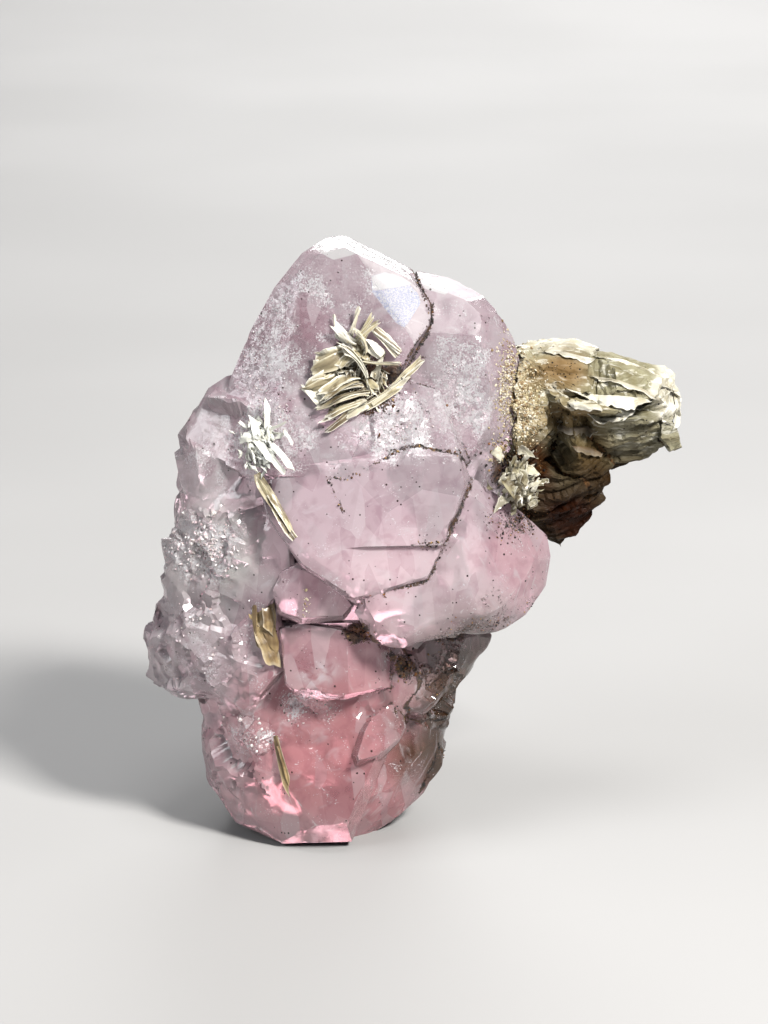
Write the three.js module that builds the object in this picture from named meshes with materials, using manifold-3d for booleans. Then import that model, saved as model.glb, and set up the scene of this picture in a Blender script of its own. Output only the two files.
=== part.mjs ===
// Pink apatite crystals grown together, with muscovite mica, standing on a flat broken base.
// Millimetres, +Z up. The viewer stands on the -Y side, and the origin is on the base, under the middle.
import * as THREE from "three";
import { ConvexGeometry } from "three/addons/geometries/ConvexGeometry.js";
import { mergeVertices } from "three/addons/utils/BufferGeometryUtils.js";
import Module from "manifold-3d";

const wasm = await Module();
wasm.setup();

// Corners are measured in the view that shows the crystals best, which looks down on them from in front:
// millimetres to the right of its middle, millimetres up from it, and the depth, which runs along +Y.
const VIEW_HEIGHT = 15;
const VIEW_DISTANCE = 400;
const VIEW_MIDDLE = new THREE.Vector3(-2.35, 0, 31.2);

// Apatite's axes, c to a. Its pyramid faces lean from the long axis by an angle that follows from them.
const AXIAL_RATIO = 0.7346;
const PYRAMID_ANGLE = Math.atan((2 * AXIAL_RATIO) / Math.sqrt(3));

// The air between the mica and the apatite that it grows on.
const GAP = 0.3;

// Points this close are one corner, and faces that span less than this share no corner.
const SAME_POINT = 1e-4;
const MERGE_DISTANCE = 1e-3;
const NEARLY_PARALLEL = 1e-3;

const pinkApatite = new THREE.MeshStandardMaterial({ color: 0xdcb4c3, roughness: 0.2, metalness: 0 });
const creamMica = new THREE.MeshStandardMaterial({ color: 0xd8cfae, roughness: 0.4, metalness: 0 });
const oliveMica = new THREE.MeshStandardMaterial({ color: 0xb5ab82, roughness: 0.35, metalness: 0 });
const whiteMica = new THREE.MeshStandardMaterial({ color: 0xe6ead8, roughness: 0.4, metalness: 0 });
const brownMica = new THREE.MeshStandardMaterial({ color: 0x97825f, roughness: 0.4, metalness: 0 });

// A direction from two angles in degrees: azimuth 0 faces the viewer and 90 faces +X, and elevation is
// the height above the horizon.
function toward(azimuth, elevation) {
  const a = THREE.MathUtils.degToRad(azimuth);
  const e = THREE.MathUtils.degToRad(elevation);
  return new THREE.Vector3(Math.sin(a) * Math.cos(e), -Math.cos(a) * Math.cos(e), Math.sin(e));
}

const VIEWER = toward(0, VIEW_HEIGHT);

// A point of the view, at a depth, in the part's own frame.
function seen(right, up, depth) {
  const eye = VIEW_MIDDLE.clone().addScaledVector(VIEWER, VIEW_DISTANCE);
  const ray = toward(180, 90 - VIEW_HEIGHT)
    .multiplyScalar(up)
    .add(new THREE.Vector3(right, 0, 0))
    .addScaledVector(VIEWER, -VIEW_DISTANCE);
  return eye.addScaledVector(ray, (depth - eye.y) / ray.y);
}

// One flat crystal face, turned to a direction, that passes through a point.
function face(azimuth, elevation, point) {
  const normal = toward(azimuth, elevation);
  return { normal, offset: normal.dot(point) };
}

// A face that closes a crystal at its back, at a place of its own.
function back(azimuth, elevation, ...place) {
  return face(azimuth, elevation, new THREE.Vector3(...place));
}

// The depth at which a point of the view lies on a face.
function depthOn({ normal, offset }, right, up) {
  const start = seen(right, up, 0);
  const step = seen(right, up, 1).sub(start);
  return (offset - normal.dot(start)) / normal.dot(step);
}

// The faces of a hexagonal apatite crystal: six prism faces, six pyramid faces, the flat tip and the root.
function habit({ at, axis, spin, prism, pyramid, tip, root }) {
  const centre = new THREE.Vector3(...at);
  const long = toward(...axis);
  const up = new THREE.Vector3(0, 0, 1);
  const side = up.addScaledVector(long, -up.dot(long)).normalize();
  side.applyAxisAngle(long, THREE.MathUtils.degToRad(spin));
  const place = (normal, distance) => ({ normal, offset: normal.dot(centre) + distance });
  const faces = [place(long.clone(), tip), place(long.clone().negate(), root)];
  for (let k = 0; k < 6; k++) {
    const out = side.clone().applyAxisAngle(long, (k * Math.PI) / 3);
    const slope = long.clone().multiplyScalar(Math.cos(PYRAMID_ANGLE));
    slope.addScaledVector(out, Math.sin(PYRAMID_ANGLE));
    faces.push(place(out, prism), place(slope, pyramid));
  }
  return faces;
}

// The faces around a crystal's widest part. Each entry of the ring is a corner of it in the view, in
// clockwise order, with two angles in degrees for the side that starts there: how far its near face leans to
// the viewer, and its far face away.
function sides(ring) {
  const corners = ring.map(([right, up, depth]) => seen(right, up, depth));
  return ring.flatMap(([, , , near, far], i) => {
    const along = corners[(i + 1) % ring.length].clone().sub(corners[i]).normalize();
    const out = VIEWER.clone().cross(along).normalize();
    const ahead = along.clone().cross(out);
    return [near, -far].map((angle) => {
      const lean = THREE.MathUtils.degToRad(angle);
      const normal = out.clone().multiplyScalar(Math.cos(lean)).addScaledVector(ahead, Math.sin(lean));
      return { normal, offset: normal.dot(corners[i]) };
    });
  });
}

// The same lean all round a ring of corners.
function evenSides(near, far, ring) {
  return sides(ring.map((corner) => [...corner, near, far]));
}

// The face on the other side of a blade, at a distance behind a face.
function behind({ normal, offset }, distance) {
  return { normal: normal.clone().negate(), offset: distance - offset };
}

// A thin flat blade that grows on a bed face: its outline in the view, clockwise, how far its middle stands
// proud of the bed, the direction that its flat side is turned to, and how thick it is.
function blade(bed, { outline, proud, turned, thick }) {
  const middle = [0, 1].map((k) => outline.reduce((sum, corner) => sum + corner[k], 0) / outline.length);
  const depth = depthOn(bed, ...middle) - proud;
  const flat = face(...turned, seen(...middle, depth));
  const ring = outline.map(([right, up]) => [right, up, depth]);
  return [...evenSides(0, 0, ring), flat, behind(flat, thick)];
}

// The point where three faces meet, or null where two of them are nearly parallel.
function meet(a, b, c) {
  const bc = b.normal.clone().cross(c.normal);
  const volume = a.normal.dot(bc);
  if (Math.abs(volume) < NEARLY_PARALLEL) return null;
  return bc
    .multiplyScalar(a.offset)
    .addScaledVector(c.normal.clone().cross(a.normal), b.offset)
    .addScaledVector(a.normal.clone().cross(b.normal), c.offset)
    .divideScalar(volume);
}

// The crystal inside all its faces, each moved out by some room. Its corners are the points where three
// faces meet and no other face cuts them off.
function crystal(shape, room = 0) {
  const faces = shape.map(({ normal, offset }) => ({ normal, offset: offset + room }));
  const corners = [];
  faces.forEach((a, i) =>
    faces.slice(i + 1).forEach((b, j) =>
      faces.slice(i + j + 2).forEach((c) => {
        const p = meet(a, b, c);
        if (!p || faces.some((f) => f.normal.dot(p) > f.offset + SAME_POINT)) return;
        if (corners.every((q) => q.distanceTo(p) > SAME_POINT)) corners.push(p);
      }),
    ),
  );
  return solid(new ConvexGeometry(corners));
}

// A closed three.js geometry as a solid that can be joined and cut.
function solid(geometry) {
  const bare = geometry.clone();
  bare.deleteAttribute("normal");
  bare.deleteAttribute("uv");
  const merged = mergeVertices(bare, MERGE_DISTANCE);
  return new wasm.Manifold(
    new wasm.Mesh({
      numProp: 3,
      vertProperties: merged.getAttribute("position").array,
      triVerts: new Uint32Array(merged.index.array),
    }),
  );
}

function join(solids) {
  return solids.reduce((a, b) => a.add(b));
}

// A solid as a named mesh.
function piece(name, body, material) {
  const mesh = body.getMesh();
  const geometry = new THREE.BufferGeometry();
  geometry.setAttribute("position", new THREE.BufferAttribute(mesh.vertProperties, 3));
  geometry.setIndex(new THREE.BufferAttribute(mesh.triVerts, 1));
  geometry.computeVertexNormals();
  const made = new THREE.Mesh(geometry, material);
  made.name = name;
  return made;
}

const base = back(0, -90, 0, 0, 0);

// Upper left crystal: the bright top, a wide front and the mirror-like facet at its right.
const crownFront = face(-4, 18, seen(-5.4, 11.2, -10.8));
const crownLeft = face(-30, 20, seen(-12.2, 11.2, -9.6));
const crown = [
  ...sides([
    [-16.2, 13.2, -7, 35, 20],
    [-13.8, 18.0, -7, 35, 22],
    [-11.6, 22.2, -5.5, 32, 25],
    [-8.8, 26.0, -3, 28, 28],
    [-6.4, 27.6, 1, 12, 30],
    [-3.8, 27.7, 1, 12, 30],
    [2.8, 24.4, 0, 12, 20],
    [4.9, 20.4, -6.8, 12, 10],
    [4.6, 18.6, -7.6, 12, 5],
    [-4.1, 3.0, -11.5, 12, 5],
    [-12.6, 3.2, -10.5, 14, 8],
  ]),
  crownFront,
  crownLeft,
  face(17, 29, seen(0.4, 21, depthOn(crownFront, 0.4, 21))),
  back(170, 25, -6, 11, 50),
  back(178, -15, -6, 9, 40),
];

// Upper right crystal, which the crown overlaps.
const shoulderFront = face(-4, 12, seen(7.6, 12.2, -9.2));
const shoulder = [
  ...sides([
    [1.6, 20.2, -5, 15, 5],
    [3.2, 24.2, 0, 12, 28],
    [6.4, 23.5, 0, 20, 28],
    [10.3, 21.8, -2, 30, 30],
    [11.9, 19.8, -4, 35, 28],
    [13.0, 17.4, -5, 38, 25],
    [13.7, 15.8, -5, 38, 20],
    [13.7, 7.2, -6, 38, 15],
    [11.1, 2.0, -6, 12, 5],
    [1.4, 0.0, -6, 10, 5],
  ]),
  shoulderFront,
  face(-3, 34, seen(7.1, 18.4, -7.7)),
  face(48, 18, seen(10.8, 12.2, -9.4)),
  back(150, 15, 8, 7, 46),
];

// The low ground between the crown, the shoulder and the front crystal.
const saddle = [
  ...evenSides(15, 5, [
    [-6.0, 9.0, -10.5],
    [-2.4, 11.2, -10.5],
    [1.6, 13.4, -10.5],
    [5.6, 12.2, -10.5],
    [8.6, 5.0, -10.5],
    [3.6, 1.0, -10.5],
    [-6.4, 1.0, -10.5],
  ]),
  face(-5, 19, seen(1.6, 8.8, -11.8)),
  back(180, 0, 0, 4, 40),
];

// Front crystal: three faces around one corner, and the plate that stands proud of its lower face.
const frontCorner = seen(-1.4, -2.8, -16);
const frontLeft = face(-13, 16, frontCorner);
const frontSides = [
  ...sides([
    [-12.6, 2.6, -12.2, 20, 8],
    [-8.4, 4.8, -12.2, 25, 5],
    [3.6, 6.5, -12.5, 25, 3],
    [7.7, 6.0, -12.5, 20, 3],
    [8.8, 3.0, -12.5, 14, 5],
    [6.6, -2.2, -14.8, 14, 8],
    [4.4, -6.8, -15.4, 25, 12],
    [-2.9, -9.4, -15.6, 18, 12],
    [-8.4, -5.4, -14.4, 18, 12],
    [-11.6, -0.8, -12.8, 18, 10],
  ]),
  frontLeft,
  back(180, 0, 0, 6, 35),
];
const front = [...frontSides, face(3, 16, seen(-1.4, -2.9, -15.4))];
const plate = [
  ...frontSides,
  face(2, 7, frontCorner),
  face(-8, 21, seen(0.6, 1.5, -15.1)),
  face(5, 21, seen(4.9, 2.4, -15.1)),
  face(3, -60, seen(1.6, -3.4, -16)),
];

// Small glassy crystal under the front crystal.
const bead = [
  ...evenSides(18, 5, [
    [-11.2, -7.8, -12.9],
    [-10.4, -6.0, -12.9],
    [-8.4, -4.8, -12.9],
    [-5.4, -6.0, -12.9],
    [-2.8, -9.3, -12.9],
    [-3.9, -10.8, -12.9],
    [-8.4, -11.3, -12.9],
    [-10.6, -10.3, -12.9],
  ]),
  face(-25, 12, seen(-9.4, -7.8, -13.9)),
  face(15, 5, seen(-4.9, -8.3, -14.2)),
  face(-2, 10, seen(-7.4, -8.3, -14.4)),
  back(180, 0, 0, 0, 22),
];

// Round-edged crystal that bulges at the right, under the front crystal.
const cheek = [
  ...sides([
    [9.6, 3.8, -10, 25, 8],
    [13.8, 0, -9, 40, 15],
    [16.2, -1.7, -8, 38, 28],
    [16.7, -4.4, -9, 35, 30],
    [16.2, -7.4, -9, 35, 30],
    [14.2, -10.3, -10.5, 35, 30],
    [11.4, -12.2, -12.2, 38, 28],
    [7.1, -13.0, -14, 40, 20],
    [2.1, -14.0, -15.4, 40, 12],
    [-1.2, -13.0, -15.4, 40, 10],
    [-3.0, -10.0, -15, 15, 10],
    [2, 2, -10, 12, 5],
  ]),
  face(5, 9, seen(4.6, -8.8, -15.8)),
  face(30, 12, seen(7.5, -4.8, -15.2)),
  back(150, -5, 8, 5, 27),
];

// Crystal with a clear pane at its front.
const pane = [
  ...evenSides(14, 5, [
    [-10.6, -11.6, -12.6],
    [-8.4, -11.0, -12.6],
    [-3.9, -11.6, -12.6],
    [0.8, -13.6, -11.4],
    [1.4, -17.4, -11.4],
    [-3.9, -18.8, -12.8],
    [-8.6, -18.6, -13],
    [-10.0, -17.2, -13],
  ]),
  face(-4, 10, seen(-6.9, -14.8, -13.8)),
  face(28, 10, seen(-3.2, -14.8, -13.8)),
  face(55, 8, seen(-0.1, -15.3, -12.2)),
  back(180, 0, 0, 0, 15),
];

// Lowest crystal, which carries the others.
const footFront = face(-3, 12, seen(-7.4, -26.8, -13.2));
const foot = [
  base,
  ...sides([
    [-18.4, -19.3, -6, 30, 25],
    [-15.4, -10.8, -8, 10, 5],
    [0.6, -10.8, -9, 10, 5],
    [3.4, -17.0, -10, 25, 5],
    [-3.2, -33.0, -12, 35, 5],
    [-10.2, -33.2, -12, 25, 5],
    [-14.8, -31.1, -8.5, 35, 8],
    [-18.1, -27.0, -6.5, 30, 18],
    [-18.5, -23.3, -6, 30, 22],
  ]),
  footFront,
  face(-36, 15, seen(-14.4, -22.8, -10.6)),
  face(-25, -6, seen(-12.0, -28.6, -12)),
  back(180, 0, 0, 10, 10),
];

const knuckle = [
  ...evenSides(20, 5, [
    [-3.5, -24.3, -12.4],
    [-2.4, -21.8, -12.4],
    [-1.2, -20.0, -12.4],
    [0.8, -19.1, -12.4],
    [2.5, -21.2, -12],
    [1.6, -23.0, -12],
    [-0.2, -24.8, -12.2],
    [-3.0, -25.8, -12.6],
  ]),
  face(20, 14, seen(-0.2, -22.2, -13.2)),
  back(180, 0, 0, 0, 10),
];

// Two stained crystals at the lower right.
const stainedUpper = [
  ...sides([
    [0.6, -9.8, -6, 10, 5],
    [9.0, -10.0, -6, 10, 10],
    [10.9, -12.3, -5.5, 35, 28],
    [10.5, -14.0, -5.5, 35, 28],
    [7.9, -18.6, -6, 35, 25],
    [5.5, -21.0, -6.5, 12, 10],
    [0.0, -20.0, -6, 10, 5],
  ]),
  face(25, 14, seen(5.6, -15.8, -8.6)),
  back(140, 0, 6, 6, 18),
];
const stainedLower = [
  base,
  ...sides([
    [-2.0, -14.0, -5, 12, 5],
    [7.7, -17.8, -5, 35, 22],
    [7.3, -22.5, -5, 35, 22],
    [6.4, -24.8, -5, 35, 20],
    [4.6, -28.2, -5.5, 35, 12],
    [1.5, -30.4, -6.5, 35, 5],
    [-1.6, -33.0, -9.5, 30, 5],
    [-8.0, -33.0, -7, 30, 5],
  ]),
  face(28, 12, seen(3.6, -24.8, -7.6)),
  back(165, 0, 4, 10, 10),
  back(-150, 0, -4, 8.5, 5),
];

// Three pale masses down the left side.
const shard = [
  ...sides([
    [-21.1, 2.2, -4.5, 38, 25],
    [-21.2, 5.7, -4.5, 38, 25],
    [-20.8, 10.0, -4.5, 38, 25],
    [-18.4, 11.8, -5, 38, 25],
    [-15.8, 13.8, -6, 38, 25],
    [-9.0, 13.2, -7, 30, 5],
    [-9.0, 0.2, -9, 30, 5],
    [-16.9, -1.4, -8, 10, 10],
  ]),
  face(-22, 12, seen(-17.4, 7.2, -8.2)),
  face(-50, 18, seen(-20, 8, -5.8)),
  back(-150, 12, -15, 8, 39),
];
const flank = [
  ...sides([
    [-21.0, 2.0, -5.5, 12, 22],
    [-16.9, 3.2, -7.5, 10, 15],
    [-9.2, 2.2, -11, 30, 5],
    [-8.9, -5.8, -12, 12, 5],
    [-12.4, -11, -11.5, 10, 5],
    [-21.4, -9.3, -8.5, 38, 22],
    [-22.6, -6.6, -5.5, 38, 25],
    [-22.3, -2.3, -5.5, 38, 25],
  ]),
  face(-20, 40, seen(-17.4, 0.2, -9)),
  face(-15, 6, seen(-17.9, -3.8, -10.4)),
  face(-46, 8, seen(-20.8, -4, -8)),
  back(-145, -5, -17, 6, 28),
];
const elbowFront = face(-12, 12, seen(-17.9, -13.8, -11.4));
const elbow = [
  ...sides([
    [-23.8, -8.2, -5.5, 14, 25],
    [-18.4, -7.0, -8.5, 10, 20],
    [-10.2, -8.8, -11, 30, 5],
    [-9.9, -15.8, -11.5, 12, 5],
    [-13.4, -20.3, -10.5, 35, 10],
    [-18.7, -20.4, -8.5, 38, 22],
    [-22.4, -18.3, -6.5, 38, 25],
    [-24.6, -17.8, -5.5, 38, 25],
    [-24.8, -14.3, -5, 38, 25],
    [-24.3, -10.6, -5, 38, 25],
  ]),
  elbowFront,
  face(-48, 12, seen(-22.6, -13.8, -7.4)),
  back(-150, 8, -18, 5, 18),
];

// Hexagonal crystals that point away from the viewer, to the sides and the back.
const backCrystals = [
  { at: [-6, 3, 44], axis: [160, 35], spin: 0, prism: 8.5, pyramid: 11.5, tip: 10.5, root: 10 },
  { at: [3, 3, 38], axis: [130, 10], spin: 10, prism: 7.5, pyramid: 10.5, tip: 9.5, root: 9 },
  { at: [-12, 2, 34], axis: [215, 12], spin: 20, prism: 7.5, pyramid: 10.5, tip: 9.5, root: 9 },
  { at: [-5, 3, 26], axis: [178, -8], spin: 5, prism: 9, pyramid: 13, tip: 12, root: 10 },
  { at: [-13, 1, 17], axis: [228, -5], spin: 15, prism: 7, pyramid: 10, tip: 9, root: 9 },
  { at: [-1, 2, 22], axis: [132, -10], spin: 25, prism: 6.8, pyramid: 9.6, tip: 8.8, root: 9 },
].map(habit);
const backFoot = [
  base,
  ...habit({ at: [-7, 3, 9], axis: [185, 4], spin: 12, prism: 9, pyramid: 11.5, tip: 10, root: 9 }),
];

const crystals = [
  crown,
  shoulder,
  saddle,
  front,
  plate,
  bead,
  cheek,
  pane,
  foot,
  knuckle,
  stainedUpper,
  stainedLower,
  shard,
  flank,
  elbow,
  ...backCrystals,
  backFoot,
];

// The hollow in the crown that the mica rosette grows out of: a round pit and the shallow run beside it.
const pits = [
  [
    ...evenSides(-45, 20, [
      [-7.4, 15.0, -10],
      [-3.9, 18.2, -9.2],
      [-1.1, 17.4, -9.4],
      [0.2, 14.2, -10.4],
      [-1.6, 10.6, -11.4],
      [-4.9, 9.8, -11.4],
      [-7.0, 11.4, -10.8],
    ]),
    face(0, 15, seen(-3.7, 13.9, -14)),
    behind(face(-4, 18, seen(-3.7, 13.9, -8.4)), 0),
  ],
  [
    ...evenSides(-45, 20, [
      [-3.0, 14.2, -10.8],
      [0.6, 14.6, -10.6],
      [2.0, 14.0, -10.8],
      [0.8, 11.2, -11.8],
      [-2.6, 10.0, -11.8],
    ]),
    face(0, 15, seen(-0.6, 12.4, -15)),
    behind(face(2, 18, seen(-0.6, 12.4, -10)), 0),
  ],
];
const hollow = (room) => join(pits.map((faces) => crystal(faces, room)));
const apatite = join(crystals.map((faces) => crystal(faces))).subtract(hollow(0));
const room = join(crystals.map((faces) => crystal(faces, GAP))).subtract(hollow(-GAP));

// Mica that grows together, cut back where it meets the apatite.
function grown(shapes) {
  return join(shapes.map((faces) => crystal(faces))).subtract(room);
}

function tuft(bed, blades) {
  return grown(blades.map((shape) => blade(bed, shape)));
}

// The mica book at the right: two tilted plates, their shaded undersides, a flap, a dark foot and the crust
// that holds them to the shoulder.
const bookPlate = [
  ...sides([
    [13.0, 16.8, 0, 25, 15],
    [16.8, 17.5, 0, 25, 15],
    [19.1, 17.4, 0, 25, 15],
    [21.5, 16.5, 0, 25, 15],
    [22.5, 9.5, -3, 40, 15],
    [17.0, 9.0, -4, 40, 15],
    [12.0, 11.0, -4, 40, 15],
  ]),
  face(4, 38, seen(18.5, 12, -6)),
  back(170, 5, 16, 5, 44),
];
const bookPlateFront = face(14, 40, seen(24.5, 11.5, -6));
const bookOuterPlate = [
  ...sides([
    [20.0, 16.0, 0, 25, 20],
    [24.0, 16.1, 0, 25, 20],
    [26.2, 15.6, 0, 25, 20],
    [28.0, 14.6, 0, 25, 20],
    [29.1, 14.3, 0, 25, 20],
    [29.4, 11.4, -1, 35, 20],
    [29.1, 9.8, -2, 40, 15],
    [22.8, 9.4, -4, 45, 15],
    [19.6, 10.0, -4, 45, 15],
  ]),
  bookPlateFront,
  back(165, -15, 22, 4, 42),
];
const bookUnderside = [
  ...sides([
    [19.5, 11.2, -3, 30, 15],
    [29.2, 10.6, -2, 35, 20],
    [28.9, 7.2, -1, 35, 20],
    [27.6, 6.3, -1, 35, 20],
    [26.1, 5.2, -1, 35, 20],
    [22.8, 4.2, -1, 35, 20],
    [19.4, 6.0, -2, 30, 15],
  ]),
  face(12, -14, seen(24, 9, -6.4)),
  back(160, -25, 22, 3, 38),
];
const bookFlap = [
  ...evenSides(35, 15, [
    [16.6, 10.8, -3],
    [19.4, 11.0, -3],
    [21.6, 8.4, -2],
    [22.8, 5.0, -2],
    [22.5, 3.0, -2],
    [21.0, 1.5, -2],
    [19.4, 0.8, -2],
    [17.4, 1.5, -2],
    [16.5, 3.4, -3],
  ]),
  face(8, -4, seen(19.5, 5, -6.8)),
  back(170, -20, 17, 3, 35),
];
const bookFoot = [
  ...sides([
    [13.0, 6.0, -3, 25, 10],
    [21.6, 4.2, -1, 30, 15],
    [22.0, 1.2, 0, 30, 20],
    [20.6, -0.5, 0, 30, 20],
    [17.6, -3.3, 0, 30, 20],
    [14.5, -2.5, -1, 30, 15],
    [12.6, 1.0, -3, 25, 10],
  ]),
  face(14, -12, seen(17.6, 1.5, -5)),
  back(165, -10, 14, 5, 33),
];
const bookCrust = [
  ...sides([
    [11.5, 16.0, -3, 20, 5],
    [14.5, 16.6, -2, 25, 5],
    [17.4, 15.0, -2, 25, 5],
    [18.0, 8.2, -3, 25, 5],
    [15.0, 3.2, -4, 25, 5],
    [11.5, 4.2, -5, 25, 5],
  ]),
  face(18, 16, seen(14.8, 11, -6.6)),
  back(180, 0, 12, 5, 40),
];
const bookRidge = blade(bookPlateFront, {
  outline: [[16.6, 12.4], [21.0, 11.0], [25.2, 10.6], [23.2, 9.6], [19.0, 9.8]],
  proud: 0.6,
  turned: [4, 20],
  thick: 3,
});
const bookChip = blade(bookPlateFront, {
  outline: [[27.8, 9.2], [29.2, 8.8], [29.7, 6.6], [28.7, 6.2], [27.6, 7.4]],
  proud: -4.5,
  turned: [20, 5],
  thick: 3,
});
const book = grown([
  bookPlate,
  bookOuterPlate,
  bookUnderside,
  bookFlap,
  bookFoot,
  bookCrust,
  bookRidge,
  bookChip,
]);

// Olive blades that stand out of the hollow in the crown, on a mound that fills it.
const rosette = tuft(crownFront, [
  {
    outline: [[-6.4, 14.8], [-3.8, 17.2], [-1.4, 16.6], [-0.6, 14.2], [-1.8, 11.2], [-4.6, 10.6], [-6.4, 12]],
    proud: -0.5,
    turned: [-4, 18],
    thick: 2.2,
  },
  {
    outline: [[-5.2, 14.6], [-3.4, 16.4], [-1.6, 15.8], [-1.2, 13.6], [-2.4, 11.8], [-4.6, 11.6]],
    proud: 0.6,
    turned: [-14, 26],
    thick: 2.4,
  },
  {
    outline: [[-7.2, 15.1], [-5.9, 16.6], [-4.1, 17.1], [-3.6, 15.4], [-5.4, 13.9]],
    proud: 0.4,
    turned: [-30, 30],
    thick: 0.8,
  },
  {
    outline: [[-7.7, 12.7], [-6.6, 13.8], [-4.4, 13.4], [-5.2, 11.4], [-7.3, 11.4]],
    proud: 0.4,
    turned: [-25, 5],
    thick: 0.8,
  },
  {
    outline: [[-4.4, 16.1], [-4.1, 16.3], [-1.5, 13.6], [-1.8, 13.3]],
    proud: 1.8,
    turned: [10, 15],
    thick: 3.5,
  },
  {
    outline: [[-3.3, 18.2], [-2.9, 18.4], [-1.6, 16.9], [-1.6, 15.3], [-2.2, 15.3]],
    proud: 1.5,
    turned: [0, 15],
    thick: 3,
  },
  {
    outline: [[-5.7, 13.3], [-3.9, 14.5], [-2.4, 14.2], [-3.2, 13.0], [-5.1, 12.4]],
    proud: 1.1,
    turned: [0, 40],
    thick: 0.8,
  },
  {
    outline: [[-5.8, 11.7], [-4.4, 12.8], [-2.5, 13.5], [-2.4, 12.6], [-4.4, 11.8]],
    proud: 1.2,
    turned: [-10, -20],
    thick: 0.8,
  },
  {
    outline: [[-6.1, 11.0], [-4.2, 12.2], [-1.8, 11.8], [-1.8, 10.6], [-5.4, 10.2]],
    proud: 0.5,
    turned: [0, 40],
    thick: 0.8,
  },
  {
    outline: [[-5.9, 8.0], [-5.5, 9.2], [-3.6, 12.0], [-2.6, 11.6], [-5.3, 7.8]],
    proud: 0.7,
    turned: [-20, 5],
    thick: 0.9,
  },
  {
    outline: [[-2.2, 16.2], [-0.6, 18.0], [1.7, 15.8], [1.4, 15.5], [-1.6, 14.8]],
    proud: 0.4,
    turned: [10, 10],
    thick: 0.8,
  },
  {
    outline: [[-2.6, 15.2], [-0.4, 15.4], [1.6, 14.9], [-0.4, 14.4], [-2.2, 14.2]],
    proud: 1.0,
    turned: [5, 45],
    thick: 0.8,
  },
  { outline: [[-3.7, 16.0], [-3.2, 20.0], [-2.6, 16.0]], proud: 0.6, turned: [-10, 18], thick: 0.9 },
  { outline: [[-2.8, 16.4], [-1.1, 20.0], [-1.6, 16.2]], proud: 0.5, turned: [10, 18], thick: 0.8 },
  {
    outline: [[-3.0, 12.8], [0.8, 13.2], [1.6, 12.2], [0.8, 11.2], [-2.6, 11.0]],
    proud: 0.9,
    turned: [-4, 18],
    thick: 1.4,
  },
  {
    outline: [[-0.2, 12.0], [3.4, 15.2], [2.8, 13.2], [0.8, 11.2]],
    proud: 1.2,
    turned: [2, 24],
    thick: 1.2,
  },
]);

// White blades flat on the left of the crown.
const spray = tuft(crownLeft, [
  {
    outline: [[-13.7, 8.2], [-12.6, 9.5], [-11.2, 8.7], [-10.9, 6.7], [-11.6, 5.2], [-13.2, 5.7]],
    proud: 0.9,
    turned: [-30, 20],
    thick: 1.2,
  },
  { outline: [[-12.4, 8.2], [-11.6, 11.0], [-11.1, 8.2]], proud: 1.0, turned: [-25, 20], thick: 1.0 },
  { outline: [[-12.0, 8.4], [-9.8, 9.1], [-11.2, 7.4]], proud: 1.1, turned: [-20, 26], thick: 1.0 },
  {
    outline: [[-12.0, 6.6], [-9.1, 4.2], [-9.5, 3.9], [-12.2, 5.6]],
    proud: 1.1,
    turned: [-24, 16],
    thick: 1.0,
  },
  {
    outline: [[-13.6, 6.8], [-12.1, 4.6], [-12.6, 4.4], [-14.0, 5.8]],
    proud: 0.9,
    turned: [-36, 20],
    thick: 1.0,
  },
  {
    outline: [[-11.8, 7.6], [-9.1, 5.7], [-9.6, 5.2], [-11.8, 6.4]],
    proud: 1.3,
    turned: [-20, 16],
    thick: 1.0,
  },
]);

// An olive sliver along the left edge of the front crystal.
const sliver = tuft(frontLeft, [
  {
    outline: [[-12.7, 3.2], [-12.0, 3.2], [-9.0, -2.3], [-9.4, -2.8], [-10.8, -1.3]],
    proud: 0.7,
    turned: [-20, 14],
    thick: 1.0,
  },
  {
    outline: [[-12.2, 3.0], [-11.4, 2.6], [-9.2, -1.4], [-9.9, -1.9]],
    proud: 1.0,
    turned: [-8, 20],
    thick: 1.0,
  },
]);

const brownPlate = tuft(elbowFront, [
  {
    outline: [[-13.3, -9.2], [-10.7, -9.8], [-10.7, -12.8], [-11.4, -15.1], [-12.8, -11.8]],
    proud: 1.2,
    turned: [-12, 12],
    thick: 0.8,
  },
]);

// Olive blades where the shoulder, the cheek and the book meet.
const junction = tuft(shoulderFront, [
  {
    outline: [[12.1, 2.2], [11.6, 4.2], [13.6, 5.0], [14.7, 4.2], [14.0, 2.8]],
    proud: 0.6,
    turned: [-10, 30],
    thick: 0.7,
  },
  {
    outline: [[11.6, 0.5], [12.0, 2.4], [13.6, 3.4], [13.8, 2.0]],
    proud: 0.8,
    turned: [10, 0],
    thick: 0.7,
  },
  {
    outline: [[13.3, 6.2], [14.2, 6.3], [15.1, 4.2], [13.8, 3.4]],
    proud: 0.3,
    turned: [20, 10],
    thick: 0.8,
  },
  { outline: [[13.0, 4.1], [15.7, 3.8], [13.4, 2.7]], proud: 0.6, turned: [0, 30], thick: 0.7 },
  { outline: [[11.2, 0.2], [12.0, 2.0], [12.9, 0.9]], proud: 0.9, turned: [-10, 20], thick: 0.8 },
  {
    outline: [[11.8, 4.4], [14.2, 4.8], [14.4, 2.6], [12.2, 1.6]],
    proud: 0.4,
    turned: [10, 15],
    thick: 1.6,
  },
]);

const splinter = tuft(footFront, [
  {
    outline: [[-11.1, -22.6], [-10.7, -22.8], [-9.4, -26.8], [-9.6, -27.9], [-10.2, -26.6]],
    proud: 0.8,
    turned: [-3, 12],
    thick: 0.8,
  },
]);

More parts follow.
